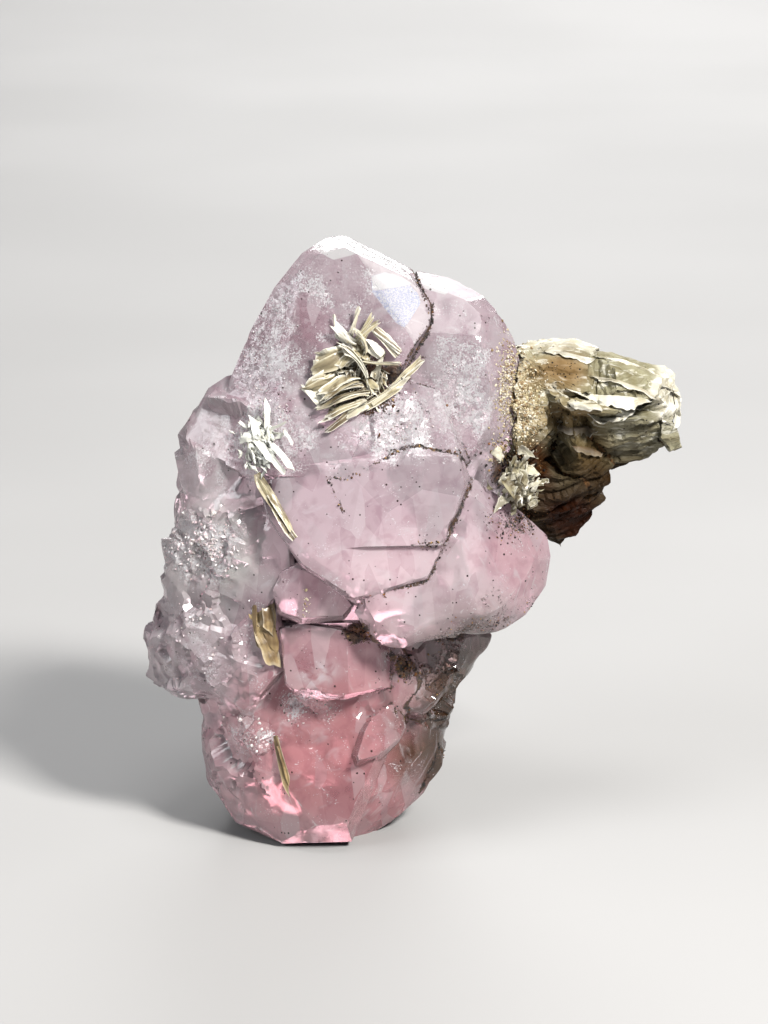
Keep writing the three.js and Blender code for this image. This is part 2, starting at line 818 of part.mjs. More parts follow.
const specimen = new THREE.Group();
specimen.add(
  piece("apatite_crystals", apatite, pinkApatite),
  piece("mica_book", book, creamMica),
  piece("mica_rosette", rosette, oliveMica),
  piece("mica_spray", spray, whiteMica),
  piece("mica_sliver", sliver, oliveMica),
  piece("mica_brown_plate", brownPlate, brownMica),
  piece("mica_junction_tuft", junction, oliveMica),
  piece("mica_splinter", splinter, brownMica),
);

const box = new THREE.Box3().setFromObject(specimen);
const middle = box.getCenter(new THREE.Vector3());
specimen.position.set(-middle.x, -middle.y, -box.min.z);

export default specimen;
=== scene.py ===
"""Looks of a pink apatite specimen with muscovite mica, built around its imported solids."""

import math
import random

import bmesh
import bpy
import numpy as np
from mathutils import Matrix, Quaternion, Vector, bvhtree, geometry, kdtree, noise


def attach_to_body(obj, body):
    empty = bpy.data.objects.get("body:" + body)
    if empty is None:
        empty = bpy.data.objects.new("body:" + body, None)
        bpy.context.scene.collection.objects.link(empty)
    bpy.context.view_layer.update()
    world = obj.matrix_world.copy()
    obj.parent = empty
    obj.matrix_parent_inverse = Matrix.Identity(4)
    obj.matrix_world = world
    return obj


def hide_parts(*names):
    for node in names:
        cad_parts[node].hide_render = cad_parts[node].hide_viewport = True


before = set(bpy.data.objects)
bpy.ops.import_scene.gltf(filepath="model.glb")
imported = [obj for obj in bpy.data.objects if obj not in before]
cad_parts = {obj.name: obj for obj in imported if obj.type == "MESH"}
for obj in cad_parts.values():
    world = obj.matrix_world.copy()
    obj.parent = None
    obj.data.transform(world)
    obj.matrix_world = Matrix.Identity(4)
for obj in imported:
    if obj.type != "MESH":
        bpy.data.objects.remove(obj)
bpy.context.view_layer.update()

# Lengths below are millimetres unless a name says otherwise, and the scene is in metres.
MM = 0.001

# The view that the crystals are known from. Places in it are millimetres right of its middle and up from it.
VIEW_HEIGHT = math.radians(15)
VIEW_DISTANCE = 400.0
VIEW_MIDDLE = Vector((-2.34, 0.41, 31.2))
VIEWER = Vector((0, -math.cos(VIEW_HEIGHT), math.sin(VIEW_HEIGHT)))
VIEW_UP = Vector((0, math.sin(VIEW_HEIGHT), math.cos(VIEW_HEIGHT)))
VIEW_RIGHT = Vector((1, 0, 0))
EYE = VIEW_MIDDLE + VIEWER * VIEW_DISTANCE
LENS = 140.6
SENSOR = 36.0

# How clear the apatite is, its refractive index, and the colour that light takes on its way through.
CLEAR_SHARE = 0.6
APATITE_INDEX = 1.63
APATITE_ABSORPTION = (0.95, 0.72, 0.79, 1)
ABSORPTION_PER_METRE = 40.0

# Spacing of the fine points on each kind of solid.
CRYSTAL_SPACING = 0.38
BOOK_SPACING = 0.30

# Worn edges: how far from an edge the wear reaches, how deep it is on the edge, which edges are sharp,
# and how many chips are out of them.
WEAR_REACH = 0.4
WEAR_DEPTH = 0.07
SHARP_ANGLE = math.radians(22)
FACET_ANGLE = math.radians(16)
EDGE_CHIPS = 130

# Mica splits along one direction into thin sheets.
BOOK_SHEET = 0.55
BOOK_CLEAVAGE = (8, 52)


def srgb(red, green, blue):
    """A colour on a scale of 255, as linear light."""
    parts = [c / 255 for c in (red, green, blue)]
    return tuple(c / 12.92 if c <= 0.04045 else ((c + 0.055) / 1.055) ** 2.4 for c in parts)


def toward(azimuth, elevation):
    """A direction in degrees: azimuth 0 faces the viewer and 90 faces +X."""
    a, e = math.radians(azimuth), math.radians(elevation)
    return Vector((math.sin(a) * math.cos(e), -math.cos(a) * math.cos(e), math.sin(e)))


def sight(right, up):
    """The direction in which the viewer sees a place."""
    return (VIEW_RIGHT * right + VIEW_UP * up - VIEWER * VIEW_DISTANCE).normalized()


def seen(right, up, depth):
    """The point at some depth behind the view's middle where the viewer sees a place."""
    ray = sight(right, up)
    return EYE + ray * ((VIEW_MIDDLE.y + depth - EYE.y) / ray.y)


def places_of(points):
    """Where the viewer sees an array of points, as millimetres right and up."""
    offset = points - np.array(VIEW_MIDDLE)
    scale = VIEW_DISTANCE / (VIEW_DISTANCE - offset @ np.array(VIEWER))
    return np.column_stack([offset @ np.array(VIEW_RIGHT) * scale, offset @ np.array(VIEW_UP) * scale])


def smooth(values):
    """Eases values from 0 to 1."""
    t = np.clip(values, 0, 1)
    return t * t * (3 - 2 * t)


def noise_at(points, per_mm, seed):
    """Smooth noise from -1 to 1 at each point."""
    shift = Vector((seed * 17.1, seed * 5.3, seed * 9.7))
    return np.array([noise.noise(Vector(p) * per_mm + shift) for p in points])


def rough_noise_at(points, per_mm, octaves, seed):
    """Noise with finer and finer detail at each point, about -1 to 1."""
    shift = Vector((seed * 17.1, seed * 5.3, seed * 9.7))
    return np.array([noise.fractal(Vector(p) * per_mm + shift, 1.0, 2.0, octaves) for p in points])


# Fine meshes on the flat faces of a solid


def flat_faces(node):
    """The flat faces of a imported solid, in millimetres, with the faces that lie in one plane joined."""
    shape = bmesh.new()
    shape.from_mesh(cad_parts[node].data)
    bmesh.ops.scale(shape, vec=Vector((1, 1, 1)) / MM, verts=shape.verts)
    bmesh.ops.remove_doubles(shape, verts=shape.verts, dist=2e-3)
    bmesh.ops.dissolve_limit(shape, angle_limit=math.radians(0.6), verts=shape.verts, edges=shape.edges)
    return shape


def edge_points(shape):
    """Points along the sharp edges: those that stand out, and those that are seams between crystals."""
    ridges, seams = [], []
    for edge in shape.edges:
        if len(edge.link_faces) != 2:
            continue
        angle = edge.calc_face_angle_signed(0)
        if abs(angle) < FACET_ANGLE:
            continue
        steps = max(2, math.ceil(edge.calc_length() / 0.2))
        a, b = (v.co for v in edge.verts)
        side = ridges if angle > 0 else seams
        side += [a.lerp(b, k / steps) for k in range(steps + 1)]
    return ridges, seams


def split_edges(shape, spacing):
    for edge in list(shape.edges):
        start = edge.verts[0]
        for parts in range(math.ceil(edge.calc_length() / spacing), 1, -1):
            start = bmesh.utils.edge_split(edge, start, 1 / parts)[1]


def inner_grid(corners, spacing, draw):
    """Points of a jittered triangular grid inside an outline, clear of its sides."""
    low, high = corners.min(0), corners.max(0)
    rows = np.arange(low[1], high[1], spacing * 0.866)
    grid = []
    for k, row in enumerate(rows):
        columns = np.arange(low[0] + (k % 2) * spacing / 2, high[0], spacing)
        grid += [(column, row) for column in columns]
    if not grid:
        return np.zeros((0, 2))
    grid = np.array(grid) + draw.uniform(-0.15, 0.15, (len(grid), 2)) * spacing
    a, b = corners, np.roll(corners, -1, axis=0)
    side = b - a
    offset = grid[:, None] - a[None]
    along = np.clip((offset * side).sum(2) / np.maximum((side**2).sum(1), 1e-12), 0, 1)
    clear = np.linalg.norm(offset - along[..., None] * side, axis=2).min(1) > spacing * 0.5
    spans = (a[None, :, 1] > grid[:, None, 1]) != (b[None, :, 1] > grid[:, None, 1])
    rise = np.where(np.abs(side[:, 1]) < 1e-12, 1e-12, side[:, 1])
    crossing = a[:, 0] + (grid[:, None, 1] - a[:, 1]) / rise * side[:, 0]
    inside = (spans & (grid[:, None, 0] < crossing)).sum(1) % 2 == 1
    return grid[clear & inside]


def fine_mesh(node, spacing, seed):
    """Fine, even triangles on a solid's flat faces: points, triangles, their faces, ridges and seams."""
    draw = np.random.default_rng(seed)
    shape = flat_faces(node)
    ridges, seams = edge_points(shape)
    split_edges(shape, spacing)
    shape.verts.index_update()
    points = [v.co.copy() for v in shape.verts]
    triangles, face_of = [], []
    for number, face in enumerate(shape.faces):
        normal = face.normal
        across = normal.orthogonal().normalized()
        along = normal.cross(across)
        origin = face.verts[0].co
        ring = [v.index for v in face.verts]
        corners = np.array([((v.co - origin).dot(across), (v.co - origin).dot(along)) for v in face.verts])
        inner = inner_grid(corners, spacing, draw)
        index = ring + list(range(len(points), len(points) + len(inner)))
        flat = [Vector(p) for p in corners] + [Vector(p) for p in inner]
        made = geometry.delaunay_2d_cdt(flat, [], [list(range(len(ring)))], 1, 1e-7)
        faces, sources = made[2], made[3]
        points += [origin + across * p[0] + along * p[1] for p in inner]
        for corner in faces:
            if all(sources[c] for c in corner):
                triangles.append([index[sources[c][0]] for c in corner])
                face_of.append(number)
    shape.free()
    return np.array(points), np.array(triangles), np.array(face_of), ridges, seams


def vertex_normals(points, triangles):
    a, b, c = (points[triangles[:, k]] for k in range(3))
    flat = np.cross(b - a, c - a)
    normals = np.zeros_like(points)
    for k in range(3):
        np.add.at(normals, triangles[:, k], flat)
    return normals / np.maximum(np.linalg.norm(normals, axis=1, keepdims=True), 1e-12)


def search_tree(points):
    """A tree that finds the points nearest to a place."""
    tree = kdtree.KDTree(len(points))
    for k, point in enumerate(points):
        tree.insert(point, k)
    tree.balance()
    return tree


def distance_to(points, marks):
    """How far each point is from the nearest mark."""
    tree = search_tree(marks)
    return np.array([tree.find(Vector(p))[2] for p in points])


def make_piece(name, points, faces, material, smooth_shading=True):
    """A mesh object from points in millimetres."""
    mesh = bpy.data.meshes.new(name)
    mesh.from_pydata((np.asarray(points) * MM).tolist(), [], [list(map(int, f)) for f in faces])
    mesh.update()
    if smooth_shading:
        mesh.shade_smooth()
        mesh.set_sharp_from_angle(angle=SHARP_ANGLE)
    mesh.materials.append(material)
    piece = bpy.data.objects.new(name, mesh)
    bpy.context.scene.collection.objects.link(piece)
    return piece


def set_values(piece, name, values, on="POINT"):
    """Stores one number for each point or face, for the materials to read."""
    layer = piece.data.attributes.new(name, "FLOAT", on)
    layer.data.foreach_set("value", np.asarray(values, np.float32))


def set_colours(piece, name, colours):
    """Stores one colour for each point."""
    layer = piece.data.attributes.new(name, "FLOAT_COLOR", "POINT")
    full = np.column_stack([colours, np.ones(len(colours))])
    layer.data.foreach_set("color", full.astype(np.float32).ravel())


def surface_of(points, triangles):
    """A surface that rays can be sent to."""
    return bvhtree.BVHTree.FromPolygons(points.tolist(), triangles.tolist())


def touch(surfaces, right, up):
    """The point, normal, triangle and distance of what the viewer sees at a place, if anything."""
    hits = [surface.ray_cast(EYE, sight(right, up)) for surface in surfaces]
    hits = [hit for hit in hits if hit[0] is not None]
    return min(hits, key=lambda hit: hit[3]) if hits else None


# Where the crystals are tinted, frosted and dirty, in the view's millimetres


def soft_patch(places, right, up, reach_right, reach_up):
    """Strength of a soft round patch at each place, 1 in its middle and 0 outside."""
    offset = (places - np.array((right, up))) / np.array((reach_right, reach_up))
    return smooth(1.2 - np.linalg.norm(offset, axis=1))


def strongest(places, patches, least=0.0):
    """The strength of the strongest patch at each place, from each patch's middle, reach and strength."""
    strengths = [strength * soft_patch(places, *middle, *reach) for middle, reach, strength in patches]
    return np.maximum(np.max(strengths, axis=0), least)


def painted(base, places, tints):
    """The colour at each place: soft patches of tint, one over the other, on a base colour."""
    colours = np.tile(np.array(base), (len(places), 1))
    for middle, reach, tint in tints:
        strength = soft_patch(places, *middle, *reach)[:, None]
        colours = colours * (1 - strength) + np.array(tint) * strength
    return colours


def wobble(points, per_mm, seeds, most):
    """Small shifts right and up at each point, which make the outlines of patches uneven."""
    return np.column_stack([noise_at(points, per_mm, seed) for seed in seeds]) * most


def near_line(places, line, width):
    """Strength of a band along a line of corners, 1 on the line and 0 outside its width."""
    nearest = np.full(len(places), 1e9)
    for start, end in zip(line, line[1:]):
        a, side = np.array(start), np.array(end) - np.array(start)
        along = np.clip((places - a) @ side / (side @ side), 0, 1)
        nearest = np.minimum(nearest, np.linalg.norm(places - a - along[:, None] * side, axis=1))
    return smooth(1 - nearest / width)


def inside_outline(places, outline):
    """How far each place is inside a bulging outline given anticlockwise, and below 0 outside it."""
    depth = np.full(len(places), 1e9)
    corners = np.array(outline)
    for a, b in zip(corners, np.roll(corners, -1, axis=0)):
        side = (b - a) / np.linalg.norm(b - a)
        depth = np.minimum(depth, (places - a) @ np.array((-side[1], side[0])))
    return depth


LILAC = srgb(218, 200, 207)
PINK = srgb(242, 221, 226)
DEEP_PINK = srgb(222, 156, 160)
PALE = srgb(224, 212, 215)
OLIVE = srgb(104, 80, 46)
BROWN = srgb(70, 46, 24)
MAUVE = srgb(202, 172, 180)
PAINTED_SHADE_LILAC = srgb(168, 138, 148)

# Middle, reach and colour of each tinted patch, painted one over the other on the lilac; some of them hold
# painted shade.
TINTS = [
    ((4, -8), (16, 9), PINK),
    ((-6, -23), (14, 15), DEEP_PINK),
    ((14, -5), (5, 7), srgb(234, 194, 202)),
    ((-19, 5), (8, 9), PALE),
    ((-17, -4), (7, 6), srgb(234, 234, 228)),
    ((-19, -14), (7, 8), PALE),
    # The olive and brown patches at the lower right are the crystals' stain, darkened further as painted
    # shade.
    ((8.5, -20), (8, 12), OLIVE),
    ((3.6, -26.0), (4.2, 5.4), srgb(100, 72, 46)),
    ((6.6, -22.0), (4.6, 7.0), BROWN),
    ((-7, -8), (4, 4), MAUVE),
    # Painted shade on the left side of the upper crystal.
    ((-10, 18), (6.5, 7), PAINTED_SHADE_LILAC),
    ((0, -29), (5, 5), DEEP_PINK),
]

# Middle, reach and strength of each frosted patch.
FROSTS = [
    ((-18, -3.5), (5, 4.5), 1.0),
    ((1, 9), (6, 5), 0.8),
    ((-12, 7), (5, 5), 0.8),
    ((8, 12), (5, 8), 0.65),
    ((-6, 20), (12, 10), 0.3),
    ((-11.5, 17), (4, 9), 0.5),
    ((-9, 8), (3, 3), 0.55),
    ((-13, -22.5), (3.4, 3.4), 0.5),
    ((-7.6, -19.6), (3.5, 2.2), 0.5),
    ((-18, -14), (8, 7), 0.25),
    ((-18, 6), (6, 7), 0.2),
]

# White clouds and veils inside the crystals, and one painted highlight: middle, reach and strength.
CLOUDS = [
    ((-6.5, -15.8), (3.2, 2.0), 0.75),
    ((0.5, 8.0), (5.0, 3.4), 0.6),
    ((-9.5, 11.5), (3.0, 5.0), 0.45),
    ((7.5, 11.0), (3.4, 5.0), 0.5),
    ((-17.5, -3.0), (4.0, 3.4), 0.9),
    # A painted highlight: white flashes of light on fractures at the foot's left.
    ((-15.8, -24.0), (1.6, 3.0), 0.5),
    ((-19.5, -12.5), (4.0, 3.0), 0.45),
    ((-16.5, 3.5), (4.0, 3.0), 0.4),
]

# The mirror-like face near the top of the upper left crystal, anticlockwise, and a place on the whole face.
# Inside the outline it gets a painted reflection.
MIRROR_FACE = [
    (-1.3, 23.6), (-1.2, 22.0), (1.2, 18.9), (2.1, 18.4), (3.7, 20.9), (3.4, 21.9), (1.8, 23.5), (0.1, 24.0)
]
MIRROR_PLACE = (1.2, 21.4)

# A place on each face whose gloss is worn off.
DULL_PLACES = [MIRROR_PLACE, (7.6, 21.4), (5.6, 22.6)]

# Faces painted white as a painted highlight, anticlockwise.
PAINTED_HIGHLIGHT_FACES = [
    [(-6.8, 26.2), (-5.1, 25.2), (-2.7, 25.8), (-3.9, 27.9), (-6.8, 27.4)],
    [(-2.7, 25.8), (1.6, 24.1), (2.9, 24.4), (-3.9, 27.9)],
    [(2.9, 24.2), (4.1, 22.3), (6.3, 21.7), (6.5, 22.9)],
    [(-1.3, 23.6), (-1.1, 22.1), (2.9, 22.7), (1.8, 23.5), (0.1, 24.0)],
]

# Crystal faces painted lighter or darker than the rest, as painted light and shade: a place on each, and its
# tone.
FACE_PAINTED_LIGHT_AND_SHADE = [
    ((3.4, -0.4), 1.12),
    ((-7.5, 0.0), 1.02),
    ((-0.5, 3.4), 0.9),
    ((4.6, 3.6), 0.88),
    ((-9.5, -7.0), 0.86),
    ((-6.6, -7.4), 0.9),
    ((-7.0, -15.0), 0.86),
    ((12.5, -6.5), 1.04),
    (MIRROR_PLACE, 0.72),
]

# Surfaces that broke instead of growing flat: middle, reach and strength.
BROKEN = [
    ((-18.5, -3.5), (7.0, 6.0), 0.9),
    ((-18.5, -13.5), (8.0, 8.0), 1.0),
    ((-20.5, 11.5), (3.0, 4.0), 0.35),
    ((-14.0, -24.0), (5.5, 6.5), 0.6),
    ((1.0, 9.0), (5.0, 4.5), 0.45),
    ((6.5, -18.0), (5.5, 8.0), 0.6),
    ((-7.5, -20.0), (3.5, 2.4), 0.5),
]

# Surfaces that broke into large flat facets: middle, reach and strength.
FLAT_BREAKS = [
    ((-17.4, 6.8), (5.4, 6.4), 1.0),
]

# Seams that dirt has settled in: corners, width and strength.
DIRT_SEAMS = [
    ([(2.8, 24.4), (4.1, 21.2), (4.7, 19.4), (2.1, 14.7), (1.0, 13.9)], 0.5, 0.85),
    ([(-5.6, 3.5), (-3.9, 3.2), (-2.7, 3.8), (0.6, 5.7), (3.6, 6.5), (7.7, 6.0)], 0.4, 0.75),
    ([(-5.7, 3.5), (-4.1, -0.1)], 0.35, 0.8),
    ([(2.6, -3.4), (4.6, -3.2), (6.2, -3.0)], 0.5, 0.7),
    ([(8.8, 3.4), (6.6, -2.0), (4.3, -6.8)], 0.38, 0.7),
    ([(4.3, -6.8), (-2.9, -9.4)], 0.5, 0.45),
    ([(-12.4, 2.8), (-9.4, -2.6)], 0.6, 0.6),
    ([(-1.6, 10.4), (1.6, 12.4), (3.8, 15.4)], 0.9, 1.0),
    ([(3.4, 11.2), (4.4, 9.8)], 0.5, 0.9),
    ([(-1.8, -12.4), (1.5, -14.8)], 0.8, 0.9),
    ([(4.4, -13.0), (8.4, -12.0), (12.2, -10.8), (15.2, -8.6)], 1.3, 0.62),
]

# Seams with no dirt in them: middle and reach.
CLEAN_SEAMS = [((1.2, -3.6), (6.0, 1.8)), ((6.8, 9.4), (2.8, 4.2))]

# Loose patches of dirt, two of them with painted shade: middle, reach and strength.
DIRT_PATCHES = [
    ((13.6, -1.3), (3.6, 2.6), 0.5),
    ((2.0, -15.6), (1.3, 2.0), 1.0),
    ((-2.7, -12.0), (2.1, 1.6), 1.0),
    # Painted shade, with some dirt, at the junction with the book and its mica.
    ((12.4, 4.2), (3.4, 3.6), 0.9),
    ((5.8, -16.3), (4.0, 4.0), 0.45),
    ((11.2, -9.0), (5.0, 3.2), 0.35),
    # Dirt with painted shade in the hollow under the rosette blades.
    ((-2.2, 12.6), (4.6, 4.0), 1.0),
    ((0.9, 13.6), (2.0, 1.3), 1.2),
    ((12.6, 12.0), (1.6, 5.5), 0.45),
]


def paint_crystals(points, normals, seam_distance):
    """Tint, frost and dirt at each point of the crystals, some of the tint and dirt painted shade, and where
    the painted highlights and the painted reflection go.
    """
    places = places_of(points)
    shift = wobble(points, 0.25, seeds=(1, 2), most=1.5)
    facing = smooth(normals @ np.array(VIEWER) * 4 + 0.5)
    uneven = 0.72 + 0.55 * noise_at(points, 0.35, seed=12)
    lines = [strength * near_line(places + shift * 0.12, line, width) for line, width, strength in DIRT_SEAMS]
    loose = strongest(places + shift * 0.5, DIRT_PATCHES)
    dirt = np.maximum(np.max(lines, axis=0) * uneven, loose) * facing
    right_side = smooth((places[:, 0] + 6) / 10)
    behind = smooth((points[:, 1] - 1) / 4)
    seam = smooth(1 - seam_distance / 0.7) * np.maximum(right_side * 0.8, behind * 0.45)
    for middle, reach in CLEAN_SEAMS:
        seam *= 1 - soft_patch(places, *middle, *reach) * facing
    # Outlines of the painted reflection and of the painted highlights.
    mirror = inside_outline(places, MIRROR_FACE)
    white = np.max([inside_outline(places, outline) for outline in PAINTED_HIGHLIGHT_FACES], axis=0)
    values = {"dirt": np.maximum(dirt, seam)}
    for name, patches in (("frost", FROSTS), ("cloud", CLOUDS)):
        values[name] = strongest(places + shift, patches)
    for name, depth in (("mirror", mirror), ("white", white)):
        values[name] = np.where(facing > 0.4, np.clip(depth, -1, 1), -1)
    return painted(LILAC, places + shift, TINTS), values


def face_tones_with_painted_light(surface, face_of, seed):
    """The tone of each triangle, alike on each flat face, with painted light and shade on the listed faces,
    and which are on a dull face.
    """
    draw = np.random.default_rng(seed)
    tone = draw.uniform(0.93, 1.05, face_of.max() + 1)
    for place, lightness in FACE_PAINTED_LIGHT_AND_SHADE:
        hit = touch([surface], *place)
        if hit:
            tone[face_of[hit[2]]] = lightness
    dull = {face_of[touch([surface], *place)[2]] for place in DULL_PLACES}
    return tone[face_of], np.isin(face_of, list(dull))


# Colours in the finishes, as linear light

DIRT_BLACK = (0.009, 0.006, 0.004)
DIRT_BROWN = (0.13, 0.064, 0.026)
DEPTH_MAUVE = (0.60, 0.46, 0.52)
VEIL_WHITE = (0.88, 0.84, 0.86)
# Frost white, which also paints glints.
FROST_AND_GLINT_WHITE = (0.95, 0.93, 0.95)
# Painted highlight.
PAINTED_HIGHLIGHT_WHITE = (0.96, 0.95, 0.95)
# Edge wear, and a painted highlight along the edges.
EDGE_WEAR_AND_HIGHLIGHT_WHITE = (0.92, 0.88, 0.89)
# Painted reflection, blue and white.
PAINTED_REFLECTION_BLUE = (0.54, 0.59, 0.80)
PAINTED_REFLECTION_WHITE = (0.92, 0.93, 0.97)
CRYSTAL_SPECK = (0.05, 0.035, 0.03)
MICA_SPECK = (0.015, 0.011, 0.008)
BLADE_RIM = (0.90, 0.87, 0.76)
BOOK_RIM = (0.92, 0.89, 0.80)
BOOK_LINES = (0.44, 0.38, 0.26)
# A painted pearly sheen.
PAINTED_SHEEN_PEARL = (0.80, 0.78, 0.68)
GRAIN_SHADE = (0.6, 0.55, 0.5)
FLOOR_TONES = ((0.36, 0.355, 0.35), (0.39, 0.385, 0.38))


class Nodes:
    """The nodes of a material or of a shared group, and short ways to add to them."""

    def __init__(self, tree):
        self.tree = tree
        place = self.add("TexCoord", {})["Object"]
        self.where = self.add("VectorMath", {0: place, "Scale": 1 / MM}, operation="SCALE")[0]

    def fill(self, inputs, values):
        """Links or sets inputs, by name or number."""
        for key, value in values.items():
            if isinstance(value, bpy.types.NodeSocket):
                self.tree.links.new(value, inputs[key])
            elif inputs[key].type == "RGBA":
                inputs[key].default_value = (*value[:3], 1)
            else:
                inputs[key].default_value = value

    def add(self, kind, values, **settings):
        """The outputs of a new node, once its settings are made and its inputs are filled."""
        made = self.tree.nodes.new("ShaderNode" + kind)
        for key, value in settings.items():
            setattr(made, key, value)
        self.fill(made.inputs, values)
        return made.outputs

    def maths(self, operation, *terms, clamp=False):
        return self.add("Math", dict(enumerate(terms)), operation=operation, use_clamp=clamp)[0]

    def times(self, first, second):
        return self.maths("MULTIPLY", first, second)

    def plus(self, first, second, clamp=False):
        return self.maths("ADD", first, second, clamp=clamp)

    def minus(self, first, second):
        return self.maths("SUBTRACT", first, second)

    def scaled(self, value, by, plus, clamp=False):
        """A value times another, plus a third."""
        return self.maths("MULTIPLY_ADD", value, by, plus, clamp=clamp)

    def blend(self, amount, first, second, mode="MIX"):
        """Two colours, blended."""
        return self.add("Mix", {0: amount, 6: first, 7: second}, data_type="RGBA", blend_type=mode)[2]

    def spread(self, value, low, high):
        """A value eased to 0 at low and 1 at high."""
        ends = {"Value": value, "From Min": low, "From Max": high}
        return self.add("MapRange", ends, interpolation_type="SMOOTHSTEP")[0]

    def turned(self, rotation, scale):
        """The place on the piece, turned and stretched."""
        return self.add("Mapping", {"Vector": self.where, "Rotation": rotation, "Scale": scale})[0]

    def grain(self, per_mm, detail=3.0, distortion=0.0, where=None):
        """Cloudy noise, by the place on the piece or by another."""
        place = self.where if where is None else where
        values = {"Vector": place, "Scale": per_mm, "Detail": detail, "Distortion": distortion}
        return self.add("TexNoise", values)["Fac"]

    def cells(self, per_mm, where=None):
        """Random cells, and three random values for each."""
        place = self.where if where is None else where
        cells = self.add("TexVoronoi", {"Vector": place, "Scale": per_mm})
        return cells, self.add("SeparateColor", {"Color": cells["Color"]})

    def tilted_cells(self, per_mm):
        """Small flat cells that each lean their own way: their height, and a random value for each."""
        cells, chance = self.cells(per_mm)
        lean = self.add("VectorMath", {0: cells["Color"], 1: (0.5, 0.5, 0.5)}, operation="SUBTRACT")[0]
        offset = self.add("VectorMath", {0: self.where, 1: cells["Position"]}, operation="SUBTRACT")[0]
        return self.add("VectorMath", {0: lean, 1: offset}, operation="DOT_PRODUCT")["Value"], chance[1]

    def stored(self, name, output="Fac"):
        """What each point or face stores."""
        return self.add("Attribute", {}, attribute_name=name)[output]

    def shared(self, group, **values):
        """The outputs of a shared group, once its inputs are filled."""
        named = {key.replace("_", " "): value for key, value in values.items()}
        return self.add("Group", named, node_tree=group)

    def relief(self, height, strength, distance):
        """The normals of a surface with fine heights."""
        values = {"Height": height, "Strength": strength, "Distance": distance * MM}
        return self.add("Bump", values)["Normal"]


# Node groups that several materials share


def new_group(name, inputs, outputs):
    """An empty group: its nodes, what it is given and what it puts out."""
    tree = bpy.data.node_groups.new(name, "ShaderNodeTree")
    for way, keys in (("INPUT", inputs), ("OUTPUT", outputs)):
        for key in keys:
            kind = "NodeSocketColor" if key == "Colour" else "NodeSocketFloat"
            tree.interface.new_socket(name=key, in_out=way, socket_type=kind)
    return Nodes(tree), tree.nodes.new("NodeGroupInput").outputs, tree.nodes.new("NodeGroupOutput").inputs


def seam_dirt_group():
    """Dark dirt that settles where its amount is high, with a ragged, crumbly edge; in a few places the
    amount is painted shade.
    """
    nodes, given, out = new_group("seam dirt", ["Amount"], ["Mask", "Colour", "Height"])
    fine = nodes.grain(5.2)
    ragged = nodes.plus(nodes.times(fine, 1.1), nodes.times(nodes.grain(0.8, 1.0), 0.7))
    level = nodes.minus(nodes.plus(given["Amount"], ragged), 1.42)
    mask = nodes.times(nodes.spread(level, -0.02, 0.14), nodes.spread(given["Amount"], 0.02, 0.2))
    shade = nodes.spread(nodes.grain(1.8, 1.0), 0.38, 0.68)
    colour = nodes.blend(shade, DIRT_BLACK, DIRT_BROWN)
    height = nodes.times(mask, nodes.times(fine, 0.16))
    nodes.fill(out, {"Mask": mask, "Colour": colour, "Height": height})
    return nodes.tree


def frost_group():
    """A frosted, sparkling surface of tiny crystal faces, from clear at 0 to white frost at 1, with painted
    glints, white on some cells.
    """
    nodes, given, out = new_group("crystal frost", ["Frost"], ["Frost_and_glints", "Shade", "Roughness", "Height"])
    cloud = nodes.grain(0.5, 3.0, 0.5)
    fine = nodes.grain(6.0, 2.0)
    patchy = nodes.spread(nodes.scaled(cloud, 0.9, given["Frost"]), 0.45, 1.15)
    loose = nodes.scaled(nodes.minus(cloud, 0.5), 0.5, fine)
    flecks = nodes.spread(nodes.scaled(patchy, 0.24, loose), 0.70, 0.80)
    height, chance = nodes.tilted_cells(2.8)
    # Glints: painted highlights, white on a share of the cells.
    glints = nodes.times(nodes.spread(chance, 0.80, 0.86), patchy)
    haze = nodes.scaled(patchy, 0.20, nodes.times(glints, 0.5))
    tilted = nodes.times(nodes.times(height, 0.45), patchy)
    grainy = nodes.times(fine, nodes.scaled(patchy, 0.03, 0.004))
    made = {
        "Frost_and_glints": nodes.plus(flecks, haze, clamp=True),
        "Shade": nodes.times(nodes.spread(fine, 0.48, 0.36), patchy),
        "Roughness": nodes.scaled(patchy, 0.22, 0.10),
        "Height": nodes.plus(tilted, grainy),
    }
    nodes.fill(out, made)
    return nodes.tree


def veils_group():
    """What is seen inside the crystals: streaks, healed cracks, clouds, fracture planes and dark depths."""
    nodes, given, out = new_group("inner veils", ["Cloud"], ["White", "Shade"])
    drawn = nodes.turned((0.5, 0.9, 0.4), (0.4, 2.2, 0.5))
    streaks = nodes.spread(nodes.grain(0.9, 3.0, 0.6, drawn), 0.54, 0.76)
    gap = nodes.maths("ABSOLUTE", nodes.minus(nodes.grain(0.24, 2.0, 0.8), 0.5))
    breaks = nodes.grain(0.7, 3.0, 0.5)
    cracks = nodes.times(nodes.spread(gap, 0.008, 0.002), nodes.spread(breaks, 0.58, 0.66))
    cloudy = nodes.times(given["Cloud"], nodes.spread(breaks, 0.34, 0.66))
    _, chance = nodes.cells(0.5, nodes.turned((0.7, 0.3, 0.6), (1.3, 0.6, 0.55)))
    dark_planes = nodes.times(nodes.spread(chance[0], 0.45, 0.95), 0.8)
    pale_planes = nodes.times(nodes.spread(chance[1], 0.72, 0.95), 0.28)
    lines = nodes.maths("MAXIMUM", nodes.times(streaks, 0.45), nodes.times(cracks, 0.5))
    pale = nodes.maths("MAXIMUM", lines, pale_planes)
    white = nodes.plus(pale, cloudy, clamp=True)
    shade = nodes.plus(nodes.spread(breaks, 0.56, 0.30), dark_planes)
    nodes.fill(out, {"White": white, "Shade": shade})
    return nodes.tree


